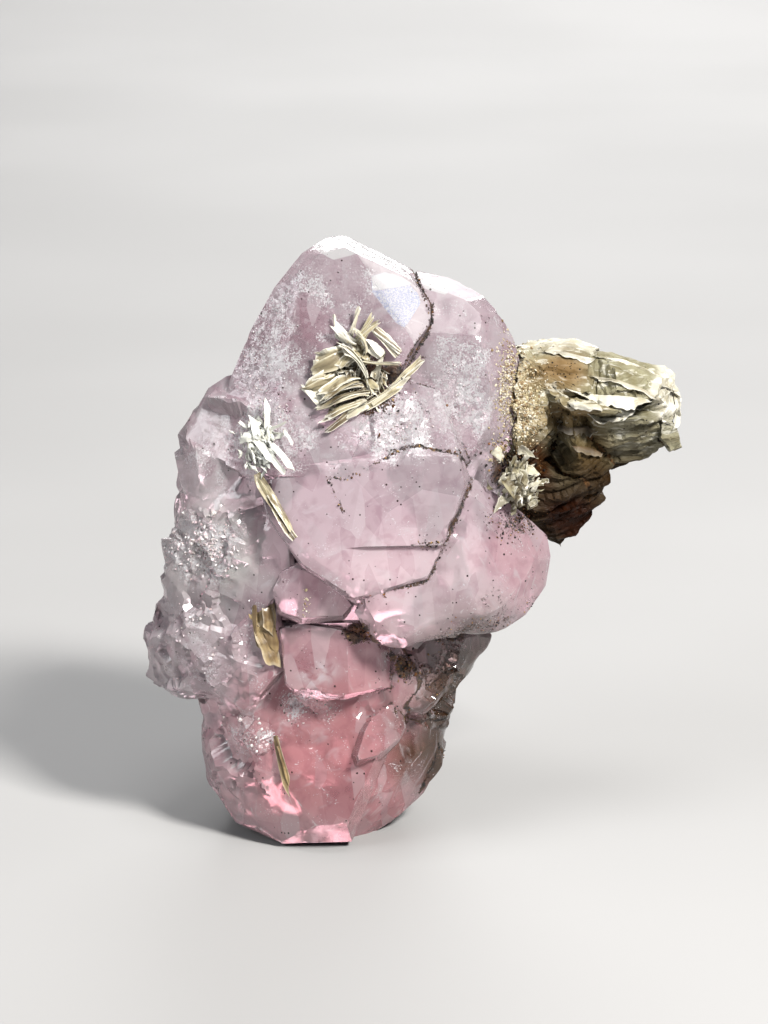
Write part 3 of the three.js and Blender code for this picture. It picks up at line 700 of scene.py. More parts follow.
def specks_group():
    """Small dark specks in loose clusters, more where their share is higher."""
    nodes, given, out = new_group("specks", ["Per mm", "Share"], ["Mask"])
    cells, chance = nodes.cells(given["Per mm"])
    size = nodes.scaled(chance[2], 0.26, 0.10)
    dot = nodes.spread(nodes.minus(size, cells["Distance"]), 0.0, 0.06)
    cluster = nodes.spread(nodes.grain(0.22, 2.0), 0.38, 0.66)
    likely = nodes.times(given["Share"], nodes.scaled(cluster, 0.75, 0.25))
    nodes.fill(out, {"Mask": nodes.times(dot, nodes.maths("LESS_THAN", chance[0], likely))})
    return nodes.tree


def sheet_lines_group():
    """Fine lines of the mica sheets, from the sheet count that each point stores."""
    nodes, given, out = new_group("sheet lines", ["Sheet"], ["Lines", "Height"])
    bent = nodes.scaled(nodes.grain(0.6), 0.8, given["Sheet"])
    lines, fine = (nodes.maths("PINGPONG", nodes.times(bent, often), 1.0) for often in (3.0, 11.0))
    both = nodes.plus(nodes.times(lines, 0.6), nodes.times(fine, 0.4))
    nodes.fill(out, {"Lines": both, "Height": nodes.scaled(nodes.grain(4.0), 0.4, both)})
    return nodes.tree


SEAM_DIRT = seam_dirt_group()
FROST = frost_group()
VEILS = veils_group()
SPECKS = specks_group()
SHEET_LINES = sheet_lines_group()


# Materials


def new_material(name):
    """A material, its nodes, and the inputs of its surface."""
    material = bpy.data.materials.new(name)
    material.use_nodes = True
    return material, Nodes(material.node_tree), material.node_tree.nodes["Principled BSDF"].inputs


def apatite_material(name, transmission):
    """Pink apatite: clear inside, with tint, frost and dirt from what each point stores, and painted
    highlights, glints and a painted reflection.
    """
    material, nodes, surface = new_material(name)
    dirt = nodes.shared(SEAM_DIRT, Amount=nodes.stored("dirt"))
    frost = nodes.shared(FROST, Frost=nodes.stored("frost"))
    specks = nodes.shared(SPECKS, Per_mm=2.8, Share=0.14)
    veils = nodes.shared(VEILS, Cloud=nodes.stored("cloud"))
    # The tint times each face's tone, which carries painted light and shade on some faces.
    toned = nodes.blend(1.0, nodes.stored("tint", "Color"), nodes.stored("tone"), "MULTIPLY")
    shade = nodes.scaled(veils["Shade"], 0.36, nodes.times(frost["Shade"], 0.9), clamp=True)
    deep = nodes.blend(shade, toned, DEPTH_MAUVE, "MULTIPLY")
    clouded = nodes.blend(veils["White"], deep, VEIL_WHITE)
    whitened = nodes.blend(frost["Frost_and_glints"], clouded, FROST_AND_GLINT_WHITE)
    # Painted highlight: the listed top faces painted white.
    highlight_amount = nodes.times(nodes.spread(nodes.stored("white"), -0.05, 0.08), 0.9)
    highlighted = nodes.blend(highlight_amount, whitened, PAINTED_HIGHLIGHT_WHITE)
    # Whitened ridges: partly wear, partly a painted highlight along the edges.
    worn = nodes.scaled(nodes.grain(0.9), 0.6, nodes.stored("ridge"))
    edge_worn_and_highlighted = nodes.blend(nodes.times(nodes.spread(worn, 0.35, 0.24), 0.6), highlighted, EDGE_WEAR_AND_HIGHLIGHT_WHITE)
    mirror = nodes.spread(nodes.stored("mirror"), -0.04, 0.06)
    # Painted reflection on the mirror-like face: sparkling white to blue, held back where the painted
    # highlight is.
    sparkling = nodes.blend(nodes.spread(nodes.grain(7.0, 1.0), 0.38, 0.62), PAINTED_REFLECTION_BLUE, PAINTED_REFLECTION_WHITE)
    reflection_amount = nodes.times(mirror, nodes.scaled(highlight_amount, -0.9, 0.9))
    with_painted_reflection = nodes.blend(reflection_amount, edge_worn_and_highlighted, sparkling)
    specked = nodes.blend(specks["Mask"], with_painted_reflection, CRYSTAL_SPECK)
    rough = nodes.scaled(dirt["Mask"], 0.5, frost["Roughness"])
    dull = nodes.scaled(nodes.minus(nodes.stored("dull"), mirror), 0.40, rough)
    finish = {
        "Base Color": nodes.blend(dirt["Mask"], specked, dirt["Colour"]),
        "Roughness": nodes.scaled(mirror, 0.50, dull, clamp=True),
        "Normal": nodes.relief(nodes.plus(frost["Height"], dirt["Height"]), strength=1.0, distance=1.0),
        "Transmission Weight": transmission,
        "IOR": APATITE_INDEX,
    }
    nodes.fill(surface, finish)
    inside = nodes.add("VolumeAbsorption", {"Color": APATITE_ABSORPTION, "Density": ABSORPTION_PER_METRE})[0]
    nodes.fill(material.node_tree.nodes["Material Output"].inputs, {"Volume": inside})
    return material


def finish_mica(nodes, surface, colour, rim, specks, sheets, **relief):
    """The last coats of any mica: bright rims, black specks, dirt, uneven gloss and relief."""
    dirt = nodes.shared(SEAM_DIRT, Amount=nodes.stored("dirt"))
    bright = nodes.blend(nodes.stored("edge"), colour, rim)
    specked = nodes.blend(specks["Mask"], bright, MICA_SPECK)
    finish = {
        "Base Color": nodes.blend(dirt["Mask"], specked, dirt["Colour"]),
        "Roughness": nodes.scaled(dirt["Mask"], 0.3, nodes.scaled(nodes.grain(2.0), 0.35, 0.28)),
        "Normal": nodes.relief(sheets["Height"], **relief),
    }
    nodes.fill(surface, finish)


def mica_material(name, light, dark, stain, speck_share):
    """Muscovite mica: pearly sheets in two shades, with brown stains and black specks."""
    material, nodes, surface = new_material(name)
    sheets = nodes.shared(SHEET_LINES, Sheet=nodes.stored("sheet"))
    specks = nodes.shared(SPECKS, Per_mm=1.6, Share=speck_share)
    mottle = nodes.spread(nodes.grain(0.45, 5.0, 0.6), 0.35, 0.68)
    shade = nodes.scaled(sheets["Lines"], 0.3, nodes.times(mottle, 0.8))
    shaded = nodes.blend(nodes.spread(shade, 0.15, 1.0), light, dark)
    stained = nodes.blend(nodes.stored("stain"), shaded, stain)
    finish_mica(nodes, surface, stained, BLADE_RIM, specks, sheets, strength=0.6, distance=0.08)
    nodes.fill(surface, {"Coat Weight": 0.35, "Coat Roughness": 0.22, "Sheen Weight": 0.08})
    return material


def book_material(name):
    """The mica book: sheets in the colour that each point stores, with lines, pearly streaks of painted sheen
    and specks.
    """
    material, nodes, surface = new_material(name)
    sheets = nodes.shared(SHEET_LINES, Sheet=nodes.stored("sheet"))
    specks = nodes.shared(SPECKS, Per_mm=3.2, Share=nodes.stored("soot"))
    tint = nodes.stored("tint", "Color")
    mottle = nodes.spread(nodes.grain(0.7, 4.0, 0.6), 0.36, 0.66)
    shade = nodes.scaled(sheets["Lines"], 0.40, nodes.times(mottle, 0.45))
    lined = nodes.blend(shade, tint, BOOK_LINES, "MULTIPLY")
    # Pearly streaks on the light sheets: a painted sheen.
    drawn = nodes.turned((0.3, 0.25, 0.1), (0.3, 1.4, 1.4))
    streaks = nodes.spread(nodes.grain(1.5, 5.0, 0.4, drawn), 0.54, 0.68)
    light_sheets = nodes.spread(nodes.add("RGBToBW", {"Color": tint})[0], 0.06, 0.34)
    pearly = nodes.times(nodes.times(streaks, light_sheets), 0.62)
    with_painted_sheen = nodes.blend(pearly, lined, PAINTED_SHEEN_PEARL)
    finish_mica(nodes, surface, with_painted_sheen, BOOK_RIM, specks, sheets, strength=0.8, distance=0.10)
    gloss = nodes.times(light_sheets, 0.25)
    nodes.fill(surface, {"Coat Weight": gloss, "Coat Roughness": 0.25, "Specular IOR Level": 0.06})
    return material


def grain_material(name, roughness, clearness=0.0):
    """Loose grains, each in its own shade."""
    material, nodes, surface = new_material(name)
    mottle = nodes.spread(nodes.grain(5.0, 2.0), 0.35, 0.65)
    finish = {
        "Base Color": nodes.blend(mottle, nodes.stored("tint", "Color"), GRAIN_SHADE, "MULTIPLY"),
        "Roughness": roughness,
        "Transmission Weight": clearness,
        "Normal": nodes.relief(nodes.grain(6.0, 2.0), strength=0.5, distance=0.05),
    }
    nodes.fill(surface, finish)
    return material


def studio_material():
    """Pale, faintly mottled floor."""
    material, nodes, surface = new_material("studio_floor")
    tone = nodes.spread(nodes.grain(0.01, 2.0), 0.3, 0.7)
    nodes.fill(surface, {"Base Color": nodes.blend(tone, *FLOOR_TONES), "Roughness": 0.7})
    return material


# The apatite crystals


def wear_edges(points, normals, ridge_distance):
    """Rounds the edges that stand out, more in some places than in others."""
    patchy = 0.65 + 0.55 * noise_at(points, 0.5, seed=3)
    depth = WEAR_DEPTH * np.maximum(patchy, 0.15) * np.clip(1 - ridge_distance / WEAR_REACH, 0, 1) ** 2
    return points - normals * depth[:, None]


def chip_edges(points, normals, ridges, count, seed):
    """Small shell-shaped chips out of the edges."""
    draw = random.Random(seed)
    tree = search_tree(points)
    moved = points.copy()
    for _ in range(count):
        mark = draw.choice(ridges)
        size = draw.uniform(0.5, 1.5)
        nearest = tree.find(mark)[1]
        centre = Vector(mark) + Vector(normals[nearest]) * size * draw.uniform(0.55, 0.85)
        for _, index, gap in tree.find_range(centre, size):
            moved[index] -= normals[index] * (size - gap) * 0.7
    return moved


def shell_fracture(points, normals, strength, spacing, bowl, seed):
    """Breaks the surface into shallow shell-shaped bowls with sharp ridges between them."""
    draw = np.random.default_rng(seed)
    low, high = points.min(0) - spacing, points.max(0) + spacing
    count = int(np.prod((high - low) / spacing))
    tree = search_tree(draw.uniform(low, high, (count, 3)))
    level = draw.uniform(-0.14, 0.14, count) * spacing
    height = np.zeros(len(points))
    for k in np.flatnonzero(strength > 0.02):
        near = tree.find_n(points[k], 7)
        height[k] = min(level[index] + gap * gap / (2 * bowl) for _, index, gap in near)
    typical = spacing * spacing * 0.3 / (2 * bowl)
    return points + normals * ((height - typical) * strength)[:, None]


def sums_by(group, vectors, count):
    """The sum of the vectors in each group."""
    return np.column_stack([np.bincount(group, vectors[:, k], count) for k in range(3)])


def melt(points, triangles, strength, rounds):
    """Smooths the surface where its strength is high, so that crystals run into each other."""
    ends = np.concatenate([triangles[:, [0, 1]], triangles[:, [1, 2]], triangles[:, [2, 0]]])
    ends = np.concatenate([ends, ends[:, ::-1]])
    neighbours = np.bincount(ends[:, 0], minlength=len(points))[:, None]
    moved = points.copy()
    for _ in range(rounds):
        sums = sums_by(ends[:, 0], moved[ends[:, 1]], len(points))
        moved += (sums / neighbours - moved) * strength[:, None] * 0.8
    return moved


def flat_chips(points, normals, strength, spacing, lean, seed):
    """Breaks the surface into flat facets that each lean a little their own way."""
    draw = np.random.default_rng(seed)
    low, high = points.min(0), points.max(0)
    count = int(np.prod((high - low) / spacing))
    tree = search_tree(draw.uniform(low, high, (count, 3)))
    facet = np.array([tree.find(p)[1] for p in points])
    members = np.maximum(np.bincount(facet, minlength=count), 1)[:, None]
    middles = sums_by(facet, points, count) / members
    facing = sums_by(facet, normals, count) / members + draw.normal(0, lean, (count, 3))
    facing /= np.maximum(np.linalg.norm(facing, axis=1, keepdims=True), 1e-9)
    offset = ((points - middles[facet]) * facing[facet]).sum(1)
    return points - facing[facet] * (np.clip(offset, -1.2, 1.2) * strength)[:, None]


def apatite_crystals():
    """The crystals, and the surface and seams that dirt can sit on."""
    points, triangles, face_of, ridges, seams = fine_mesh("apatite_crystals", CRYSTAL_SPACING, seed=11)
    normals = vertex_normals(points, triangles)
    ridge_distance = distance_to(points, ridges)
    tint, values = paint_crystals(points, normals, distance_to(points, seams))
    values["ridge"] = np.minimum(ridge_distance, 1.0)
    places = places_of(points)
    rough_back = 0.6 * smooth((points[:, 1] - 2) / 6) * smooth(noise_at(points, 0.12, seed=6) * 2)
    broken = np.maximum(strongest(places, BROKEN), rough_back)
    sheared = smooth(strongest(places, FLAT_BREAKS) * 2)
    worn = chip_edges(points, normals, ridges, EDGE_CHIPS, seed=5)
    worn = wear_edges(worn, normals, ridge_distance)
    worn = flat_chips(worn, vertex_normals(worn, triangles), sheared, spacing=5.5, lean=0.26, seed=35)
    worn = melt(worn, triangles, smooth(broken * 1.3), rounds=50)
    normals = vertex_normals(worn, triangles)
    worn = flat_chips(worn, normals, 0.95 * smooth(broken * 1.6), spacing=4.8, lean=0.20, seed=31)
    worn = shell_fracture(worn, normals, 0.28 * broken, spacing=3.2, bowl=4.0, seed=34)
    worn = flat_chips(worn, normals, 0.8 * smooth(broken * 1.2), spacing=2.3, lean=0.24, seed=32)
    ripple = 0.03 * rough_noise_at(points, 0.35, octaves=3, seed=4)
    worn = worn + normals * (ripple * smooth(ridge_distance / 0.6))[:, None]
    on_floor = points[:, 2] < points[:, 2].min() + 0.02
    worn[:, 2] = np.where(on_floor, points[:, 2], worn[:, 2])
    made = make_piece("apatite", worn, triangles, apatite_material("pink_apatite", CLEAR_SHARE))
    set_colours(made, "tint", tint)
    for name, numbers in values.items():
        set_values(made, name, numbers)
    # Each face's tone: random, with painted light and shade on the listed faces.
    tone, dull = face_tones_with_painted_light(surface_of(points, triangles), face_of, seed=33)
    set_values(made, "tone", tone, "FACE")
    set_values(made, "dull", dull, "FACE")
    return made, surface_of(worn, triangles), seams


# The mica


def sheet_counts(points, cleavage, thickness, seed):
    """Which sheet of the stack each point is in, as a number that grows across the sheets."""
    across = points @ np.array(cleavage) / thickness
    return across + 0.9 * noise_at(points, 0.16, seed) + 0.35 * noise_at(points, 0.6, seed + 1)


def torn_sheets(points, normals, sheet, cleavage, thickness, seed):
    """Ledges where sheets end: each sheet stops at its own distance, and flat tops step down."""
    level = np.floor(sheet)
    part = sheet - level
    flat = normals @ np.array(cleavage)
    outward = normals - flat[:, None] * np.array(cleavage)
    key = points * 0.22 + level[:, None] * np.array((3.7, 5.1, 2.3))
    reach = np.array([noise.noise(Vector(k) + Vector((seed, 0, 0))) for k in key])
    lip = 0.12 * smooth(1 - np.abs(part - 0.5) * 2)
    moved = points + outward * (0.85 * reach - 0.15 + lip)[:, None]
    step = (level + smooth(part * 3 - 1) - sheet) * thickness * np.abs(flat)
    return moved + np.array(cleavage) * step[:, None]


CREAM = srgb(148, 144, 118)
RIM_WHITE = srgb(216, 214, 202)
TAN = srgb(132, 108, 74)
# The grey cream and the underside's dark brown hold painted shade.
SHADED_GREY_CREAM = srgb(134, 130, 110)
RUST_STAIN_AND_SHADE = srgb(42, 18, 5)

# Middle, reach and colour of each patch of the book, painted one over the other on the cream; the dark
# patches low on the book are painted shade.
BOOK_TINTS = [
    ((20, 17.2), (9, 1.3), RIM_WHITE),
    ((28.4, 12.0), (1.8, 4.5), RIM_WHITE),
    ((13.6, 11.6), (2.6, 5.0), srgb(196, 182, 148)),
    ((17.4, 14.0), (3.8, 2.8), TAN),
    ((18.4, 9.4), (4.4, 2.4), srgb(150, 128, 92)),
    # From here on, painted shade on the lower, shaded part of the book; the last is also its brown stain.
    ((25.0, 7.0), (6.0, 3.6), SHADED_GREY_CREAM),
    ((20.4, 5.4), (3.4, 4.0), srgb(98, 82, 54)),
    ((24.0, 3.2), (5.0, 3.6), srgb(50, 35, 15)),
    ((15.4, 4.6), (3.0, 4.6), srgb(62, 36, 14)),
    ((18.5, -0.6), (8.0, 6.4), RUST_STAIN_AND_SHADE),
]

# The crust where the book meets the crystals, and the dark patch under it, dirt with painted shade: middle
# and reach.
BOOK_CRUST = (13.4, 11.6, 2.2, 7.0)
BOOK_DIRT_AND_SHADE = (13.5, 4.5, 3, 3)

# Clusters of black specks on the book: middle, reach and share, and the share elsewhere.
LEAST_SOOT = 0.06
BOOK_SOOT = [
    ((25.0, 7.6), (1.8, 1.5), 1.2),
    ((17.9, 13.6), (3.2, 2.4), 1.3),
    ((18.2, 9.6), (3.2, 2.0), 1.3),
    ((20.4, 4.8), (1.6, 1.2), 0.6),
    ((18.5, 1.0), (4.0, 3.0), 0.4),
]


def mica_book():
    """The book, and its surface."""
    points, triangles, _, ridges, seams = fine_mesh("mica_book", BOOK_SPACING, seed=12)
    normals = vertex_normals(points, triangles)
    places = places_of(points)
    cleavage = toward(*BOOK_CLEAVAGE)
    sheet = sheet_counts(points, cleavage, BOOK_SHEET, seed=21)
    moved = torn_sheets(points, normals, sheet, cleavage, BOOK_SHEET, seed=4)
    moved += normals * (0.16 * rough_noise_at(points, 0.9, octaves=4, seed=8))[:, None]
    crusted = soft_patch(places, *BOOK_CRUST)
    moved += normals * (0.5 * crusted * rough_noise_at(points, 0.55, octaves=3, seed=16))[:, None]
    # The book's colours, with painted shade on its lower part.
    tint = painted(CREAM, places + wobble(points, 0.35, seeds=(13, 14), most=0.8), BOOK_TINTS)
    edge = smooth(1 - distance_to(points, ridges) / 0.5) * smooth(noise_at(points, 0.5, seed=9) + 0.3)
    edge *= smooth((tint.mean(1) - 0.2) / 0.25) * 0.8
    dirt = 0.7 * smooth(1 - distance_to(points, seams) / 0.8) * smooth((9.5 - places[:, 1]) / 3)
    # Dirt with painted shade at the junction with the crystals.
    dirt = np.maximum(dirt, 0.8 * soft_patch(places, *BOOK_DIRT_AND_SHADE))
    soot = strongest(places, BOOK_SOOT, LEAST_SOOT)
    made = make_piece("book_sheets", moved, triangles, book_material("cream_mica"))
    set_colours(made, "tint", tint)
    for name, values in (("sheet", sheet), ("edge", edge), ("soot", soot), ("dirt", dirt)):
        set_values(made, name, values)
    return made, surface_of(moved, triangles)


class Blades:
    """Thin mica blades and torn sheets, gathered into one mesh."""

    ROWS, COLUMNS = 10, 6
    THICK = 0.10
    ROOT_DIRT, TORN_DIRT = 0.35, 0.2

    def __init__(self, seed, tips=(0.1, 0.85), rims=(0.0, 0.25, 0.8)):
        self.draw = random.Random(seed)
        self.tips, self.rims = tips, rims
        self.points, self.faces = [], []
        self.values = {"sheet": [], "edge": [], "stain": [], "dirt": []}

    def outline(self):
        """Half widths of one side at five places from root to tip: a strip, torn at the tip."""
        wide = self.draw.uniform
        return [wide(0.7, 1.0), wide(0.85, 1.1), wide(0.8, 1.1), wide(0.65, 1.05), wide(*self.tips)]

    def store(self, place, sheet, edge, stain, dirt):
        self.points.append(place)
        for key, value in (("sheet", sheet), ("edge", edge), ("stain", stain), ("dirt", dirt)):
            self.values[key].append(value)

    def add(self, root, tip, width, roll, bow, stain):
        """One blade from its root to its tip, its flat side turned from the viewer by a roll in degrees."""
        axis = tip - root
        along = axis.normalized()
        flat = (VIEWER - along * VIEWER.dot(along)).normalized()
        across = along.cross(flat)
        ragged = self.draw.uniform(0, 99)
        curl = self.draw.uniform(-0.15, 0.15) * width
        slant = self.draw.uniform(-0.7, 0.7) * width
        twist = self.draw.uniform(-50, 50)
        sides = {1: self.outline(), -1: self.outline()}
        bright = self.draw.choice(self.rims)
        pale = max(0.0, -stain)
        first = len(self.points)
        for face in (1, -1):
            for i in range(self.ROWS + 1):
                u = i / self.ROWS
                turn = math.radians(roll + twist * (u - 0.5))
                out = flat * math.cos(turn) + across * math.sin(turn)
                side = along.cross(out)
                for j in range(self.COLUMNS + 1):
                    v = 2 * j / self.COLUMNS - 1
                    knots = sides[1 if v > 0 else -1]
                    wide = width / 2 * float(np.interp(u, (0, 0.3, 0.6, 0.85, 1), knots))
                    crumple = noise.noise(Vector((ragged, 4 * u, 1.5 * v)))
                    end = slant * v * u * u + 0.12 * width * noise.noise(Vector((5 * v, ragged, u)))
                    lift = bow * 4 * u * (1 - u) + curl * v * v + 0.14 * width * crumple
                    lift += face * self.THICK / 2 * (1 - 0.6 * abs(v))
                    place = root + axis * u + along * end + side * v * (wide + 0.1 * width * crumple)
                    rim = max(pale, bright * max(abs(v) ** 12, max(2 * u - 1, 0) ** 16))
                    sheet = ragged + v * width * 0.7 + face * 0.3
                    brown = max(0.0, stain) * (1 - abs(v) ** 3)
                    self.store(place + out * lift, sheet, rim, brown, self.ROOT_DIRT * (1 - u) ** 2)
        self.close(first, self.ROWS, self.COLUMNS)

    def add_torn(self, spine, fall, reach, ruffle, stain):
        """A torn sheet along a spine of points, which falls off it with a ruffled free edge."""
        rows, columns = len(spine) - 1, self.COLUMNS
        ragged = self.draw.uniform(0, 99)
        first = len(self.points)
        for face in (1, -1):
            for i, start in enumerate(spine):
                ahead = (spine[min(i + 1, rows)] - spine[max(i - 1, 0)]).normalized()
                out = ahead.cross(fall).normalized()
                out = out if out.dot(VIEWER) > 0 else -out
                taper = min(1, 6 * i / rows, 6 * (rows - i) / rows)
                tear = noise.noise(Vector((ragged, 0.07 * i, 0)))
                tear += 0.35 * noise.noise(Vector((0, ragged, 0.3 * i)))
                length = reach * taper * max(0.15, 0.75 + 0.8 * tear)
                for j in range(columns + 1):
                    v = j / columns
                    wave = noise.noise(Vector((ragged, 0.09 * i, 1.2 * v)))
                    proud = ruffle * wave * (0.25 + v) + 0.1 + 0.15 * v * reach
                    place = start + fall * length * v + out * proud
                    place += out * (face * self.THICK / 2 * (1 - 0.5 * v))
                    rim = v**3 * 0.8 * (1 - stain)
                    self.store(place, ragged + v * reach * 2, rim, stain * (1 - v / 4), self.TORN_DIRT)
        self.close(first, rows, columns)

    def close(self, first, rows, columns):
        """The faces of one blade: two sides and the rim around them."""
        row = columns + 1
        size = row * (rows + 1)
        rim = list(range(row)) + [i * row + row - 1 for i in range(1, rows + 1)]
        rim += [size - 1 - j for j in range(1, row)] + [i * row for i in range(rows - 1, 0, -1)]
        for i in range(rows):
            for j in range(columns):
                a = first + i * row + j
                self.faces.append((a, a + row, a + row + 1, a + 1))
                b = a + size
                self.faces.append((b, b + 1, b + row + 1, b + row))
        for a, b in zip(rim, rim[1:] + rim[:1]):
            self.faces.append((first + a, first + b, first + b + size, first + a + size))

    def piece(self, name, material):
        made = make_piece(name, np.array(self.points), self.faces, material)
        for key, values in self.values.items():
            set_values(made, key, values)
        return made


def over(bed, right, up, proud):
    """The point at a height over a bed face where the viewer sees a place."""
    normal, point = bed
    ray = sight(right, up)
    return EYE + ray * ((normal.dot(point - EYE) + proud) / normal.dot(ray))


# The flat faces that the blades grow on.
CROWN_FRONT = (toward(-4, 18), seen(-5.4, 11.2, -10.8))
CROWN_LEFT = (toward(-30, 20), seen(-12.2, 11.2, -9.6))
FRONT_LEFT = (toward(-13, 16), seen(-1.4, -2.8, -16))
SHOULDER_FRONT = (toward(-4, 12), seen(7.6, 12.2, -9.2))
ELBOW_FRONT = (toward(-12, 12), seen(-17.9, -13.8, -11.4))
FOOT_FRONT = (toward(-3, 12), seen(-7.4, -26.8, -13.2))

# Blades: root (right, up, proud), tip (right, up, proud), width, roll, bow, and stain or, below 0, paleness.
ROSETTE = [
    ((-3.6, 15.8, 0.2), (-7.1, 14.3, 0.6), 3.0, -22, 0.5, 0.6),
    ((-3.4, 16.2, 0.5), (-6.8, 15.9, 0.9), 0.8, -60, 0.2, 0.1),
    ((-4.8, 13.4, 0.1), (-7.7, 12.3, 0.4), 2.2, -14, 0.4, 0.5),
    ((-6.2, 10.9, 0.2), (-8.0, 12.4, 0.3), 0.7, 10, 0.3, -0.8),
    ((-1.7, 13.5, 0.9), (-4.2, 16.5, 1.6), 1.2, 74, 0.4, -0.4),
    ((-2.4, 13.4, 0.6), (-6.0, 11.7, 1.2), 1.5, 52, 0.5, 0.4),
    ((-2.2, 12.8, 0.6), (-6.1, 11.1, 1.1), 1.3, 56, 0.5, 0.1),
    ((-1.6, 12.0, 0.6), (-6.3, 10.6, 0.9), 1.3, 58, 0.4, 0.5),
    ((-2.0, 11.2, 0.5), (-5.9, 9.4, 0.8), 1.2, 50, 0.3, 0.3),
    ((-3.0, 10.2, 0.3), (-5.9, 8.1, 0.5), 0.7, -30, 0.2, 0.8),
    ((-1.8, 10.9, 0.5), (-3.8, 9.8, 0.6), 1.4, 10, 0.2, -0.3),
    ((-3.6, 17.0, 0.2), (-5.0, 18.6, 0.6), 1.2, 15, 0.2, -0.9),
    ((-3.0, 17.0, 0.4), (-4.4, 17.8, 0.8), 1.0, -25, 0.2, -0.8),
    ((-4.7, 17.6, 0.1), (-5.1, 19.7, 0.5), 0.3, 10, 0.1, -0.6),
    ((-3.2, 17.6, 0.2), (-2.6, 20.4, 0.8), 0.4, 25, 0.1, -0.4),
    ((-2.8, 17.4, 0.3), (-1.2, 19.8, 0.9), 0.5, 40, 0.2, 0.1),
    ((-2.4, 16.9, 0.4), (-0.5, 19.2, 0.8), 0.6, -40, 0.2, 0.2),
    ((-1.8, 16.0, 0.6), (-2.9, 18.2, 1.2), 0.9, 70, 0.4, -0.3),
    ((1.5, 15.8, 0.5), (-1.0, 18.2, 0.5), 1.3, 24, 0.2, 0.8),
    ((1.5, 15.8, 0.8), (-0.9, 18.1, 0.8), 0.3, 30, 0.1, -0.7),
    ((-0.2, 15.6, 0.5), (-1.6, 17.1, 0.8), 1.3, -12, 0.2, -0.8),
    ((-3.4, 15.3, 0.6), (1.5, 15.0, 0.8), 0.7, 66, 0.2, 0.0),
    ((-2.6, 15.8, 0.4), (-4.4, 14.6, 1.0), 1.4, 30, 0.4, 0.2),
    ((-2.0, 10.4, 0.2), (1.6, 12.5, 0.2), 0.9, 20, 0.1, 0.2),
    ((-0.9, 10.9, 0.3), (2.4, 13.4, 0.2), 0.6, 45, 0.1, -0.3),
    ((0.2, 11.7, 0.1), (3.7, 15.3, -0.2), 0.8, 20, 0.1, 0.1),
    ((0.6, 12.2, 0.2), (3.5, 14.9, -0.1), 0.4, 50, 0.1, -0.5),
]
SPRAY = [
    ((-12.2, 6.0, 0.1), (-13.0, 9.3, 0.6), 0.9, -10, 0.3, -0.4),
    ((-12.6, 7.6, 0.3), (-14.3, 7.4, 0.6), 1.2, 15, 0.3, -0.3),
    ((-12.9, 7.4, 0.4), (-11.4, 5.0, 0.8), 0.8, -25, 0.3, -0.5),
    ((-11.7, 8.4, 0.3), (-11.7, 11.1, 0.7), 0.6, 10, 0.1, -0.6),
    ((-11.6, 8.2, 0.4), (-9.8, 9.0, 0.8), 0.35, 30, 0.1, -0.4),
    ((-10.0, 8.2, 0.1), (-9.1, 6.8, 0.3), 0.35, 10, 0.1, -0.6),
    ((-11.6, 6.4, 0.3), (-9.9, 3.9, 0.7), 0.6, 30, 0.2, -0.2),
    ((-11.3, 6.8, 0.4), (-9.2, 4.3, 0.8), 0.7, -30, 0.2, -0.5),
    ((-13.6, 8.4, 0.2), (-14.5, 9.0, 0.4), 0.4, 20, 0.1, -0.4),
]
SLIVER = [
    ((-9.1, -2.5, 0.3), (-12.8, 3.8, 0.5), 1.1, 25, 0.2, 0.5),
    ((-9.6, -1.4, 0.6), (-12.4, 3.2, 0.8), 0.6, -30, 0.1, 0.0),
    ((-8.9, -2.7, 0.5), (-10.9, 0.0, 0.7), 0.8, 10, 0.1, 0.9),
    ((-9.3, -2.0, 0.8), (-11.6, 1.6, 0.9), 0.3, 40, 0.1, 0.0),
]
BROWN_FLAKE = [
    ((-12.2, -9.2, 0.3), (-11.9, -12.6, 0.5), 2.6, 10, 0.1, 0.45),
    ((-12.4, -11.4, 0.4), (-11.0, -15.4, 0.4), 1.7, -14, 0.1, 0.3),
    ((-11.6, -9.6, 0.6), (-11.5, -12.0, 0.7), 1.3, -20, 0.1, 0.1),
    ((-13.0, -9.0, 0.4), (-12.7, -13.4, 0.5), 0.5, 40, 0.1, 0.8),
]
SPLINTER = [
    ((-10.9, -22.4, 0.3), (-9.5, -28.0, 0.4), 0.8, 20, 0.1, 0.6),
    ((-10.6, -23.4, 0.5), (-9.6, -27.2, 0.6), 0.3, -30, 0.1, 0.0),
]
JUNCTION = [
    ((13.0, 4.5, 0.2), (14.6, 4.0, 0.4), 1.3, -20, 0.1, 0.1),
    ((14.0, 4.3, 0.3), (15.5, 3.7, 0.5), 0.8, -30, 0.1, -0.2),
    ((13.2, 3.9, 0.3), (14.4, 2.8, 0.5), 1.7, 15, 0.2, 0.3),
    ((12.4, 3.6, 0.2), (13.0, 2.2, 0.4), 1.6, -20, 0.2, 0.5),
    ((13.0, 2.8, 0.2), (13.9, 1.6, 0.4), 1.5, 20, 0.1, 0.5),
    ((12.1, 1.5, 0.2), (11.7, 0.4, 0.3), 1.2, -10, 0.1, -0.2),
    ((13.6, 6.5, 0.3), (14.5, 5.6, 0.5), 1.0, 20, 0.1, -0.2),
    ((11.0, 6.3, 0.2), (11.8, 5.5, 0.3), 1.1, -10, 0.1, -0.3),
]


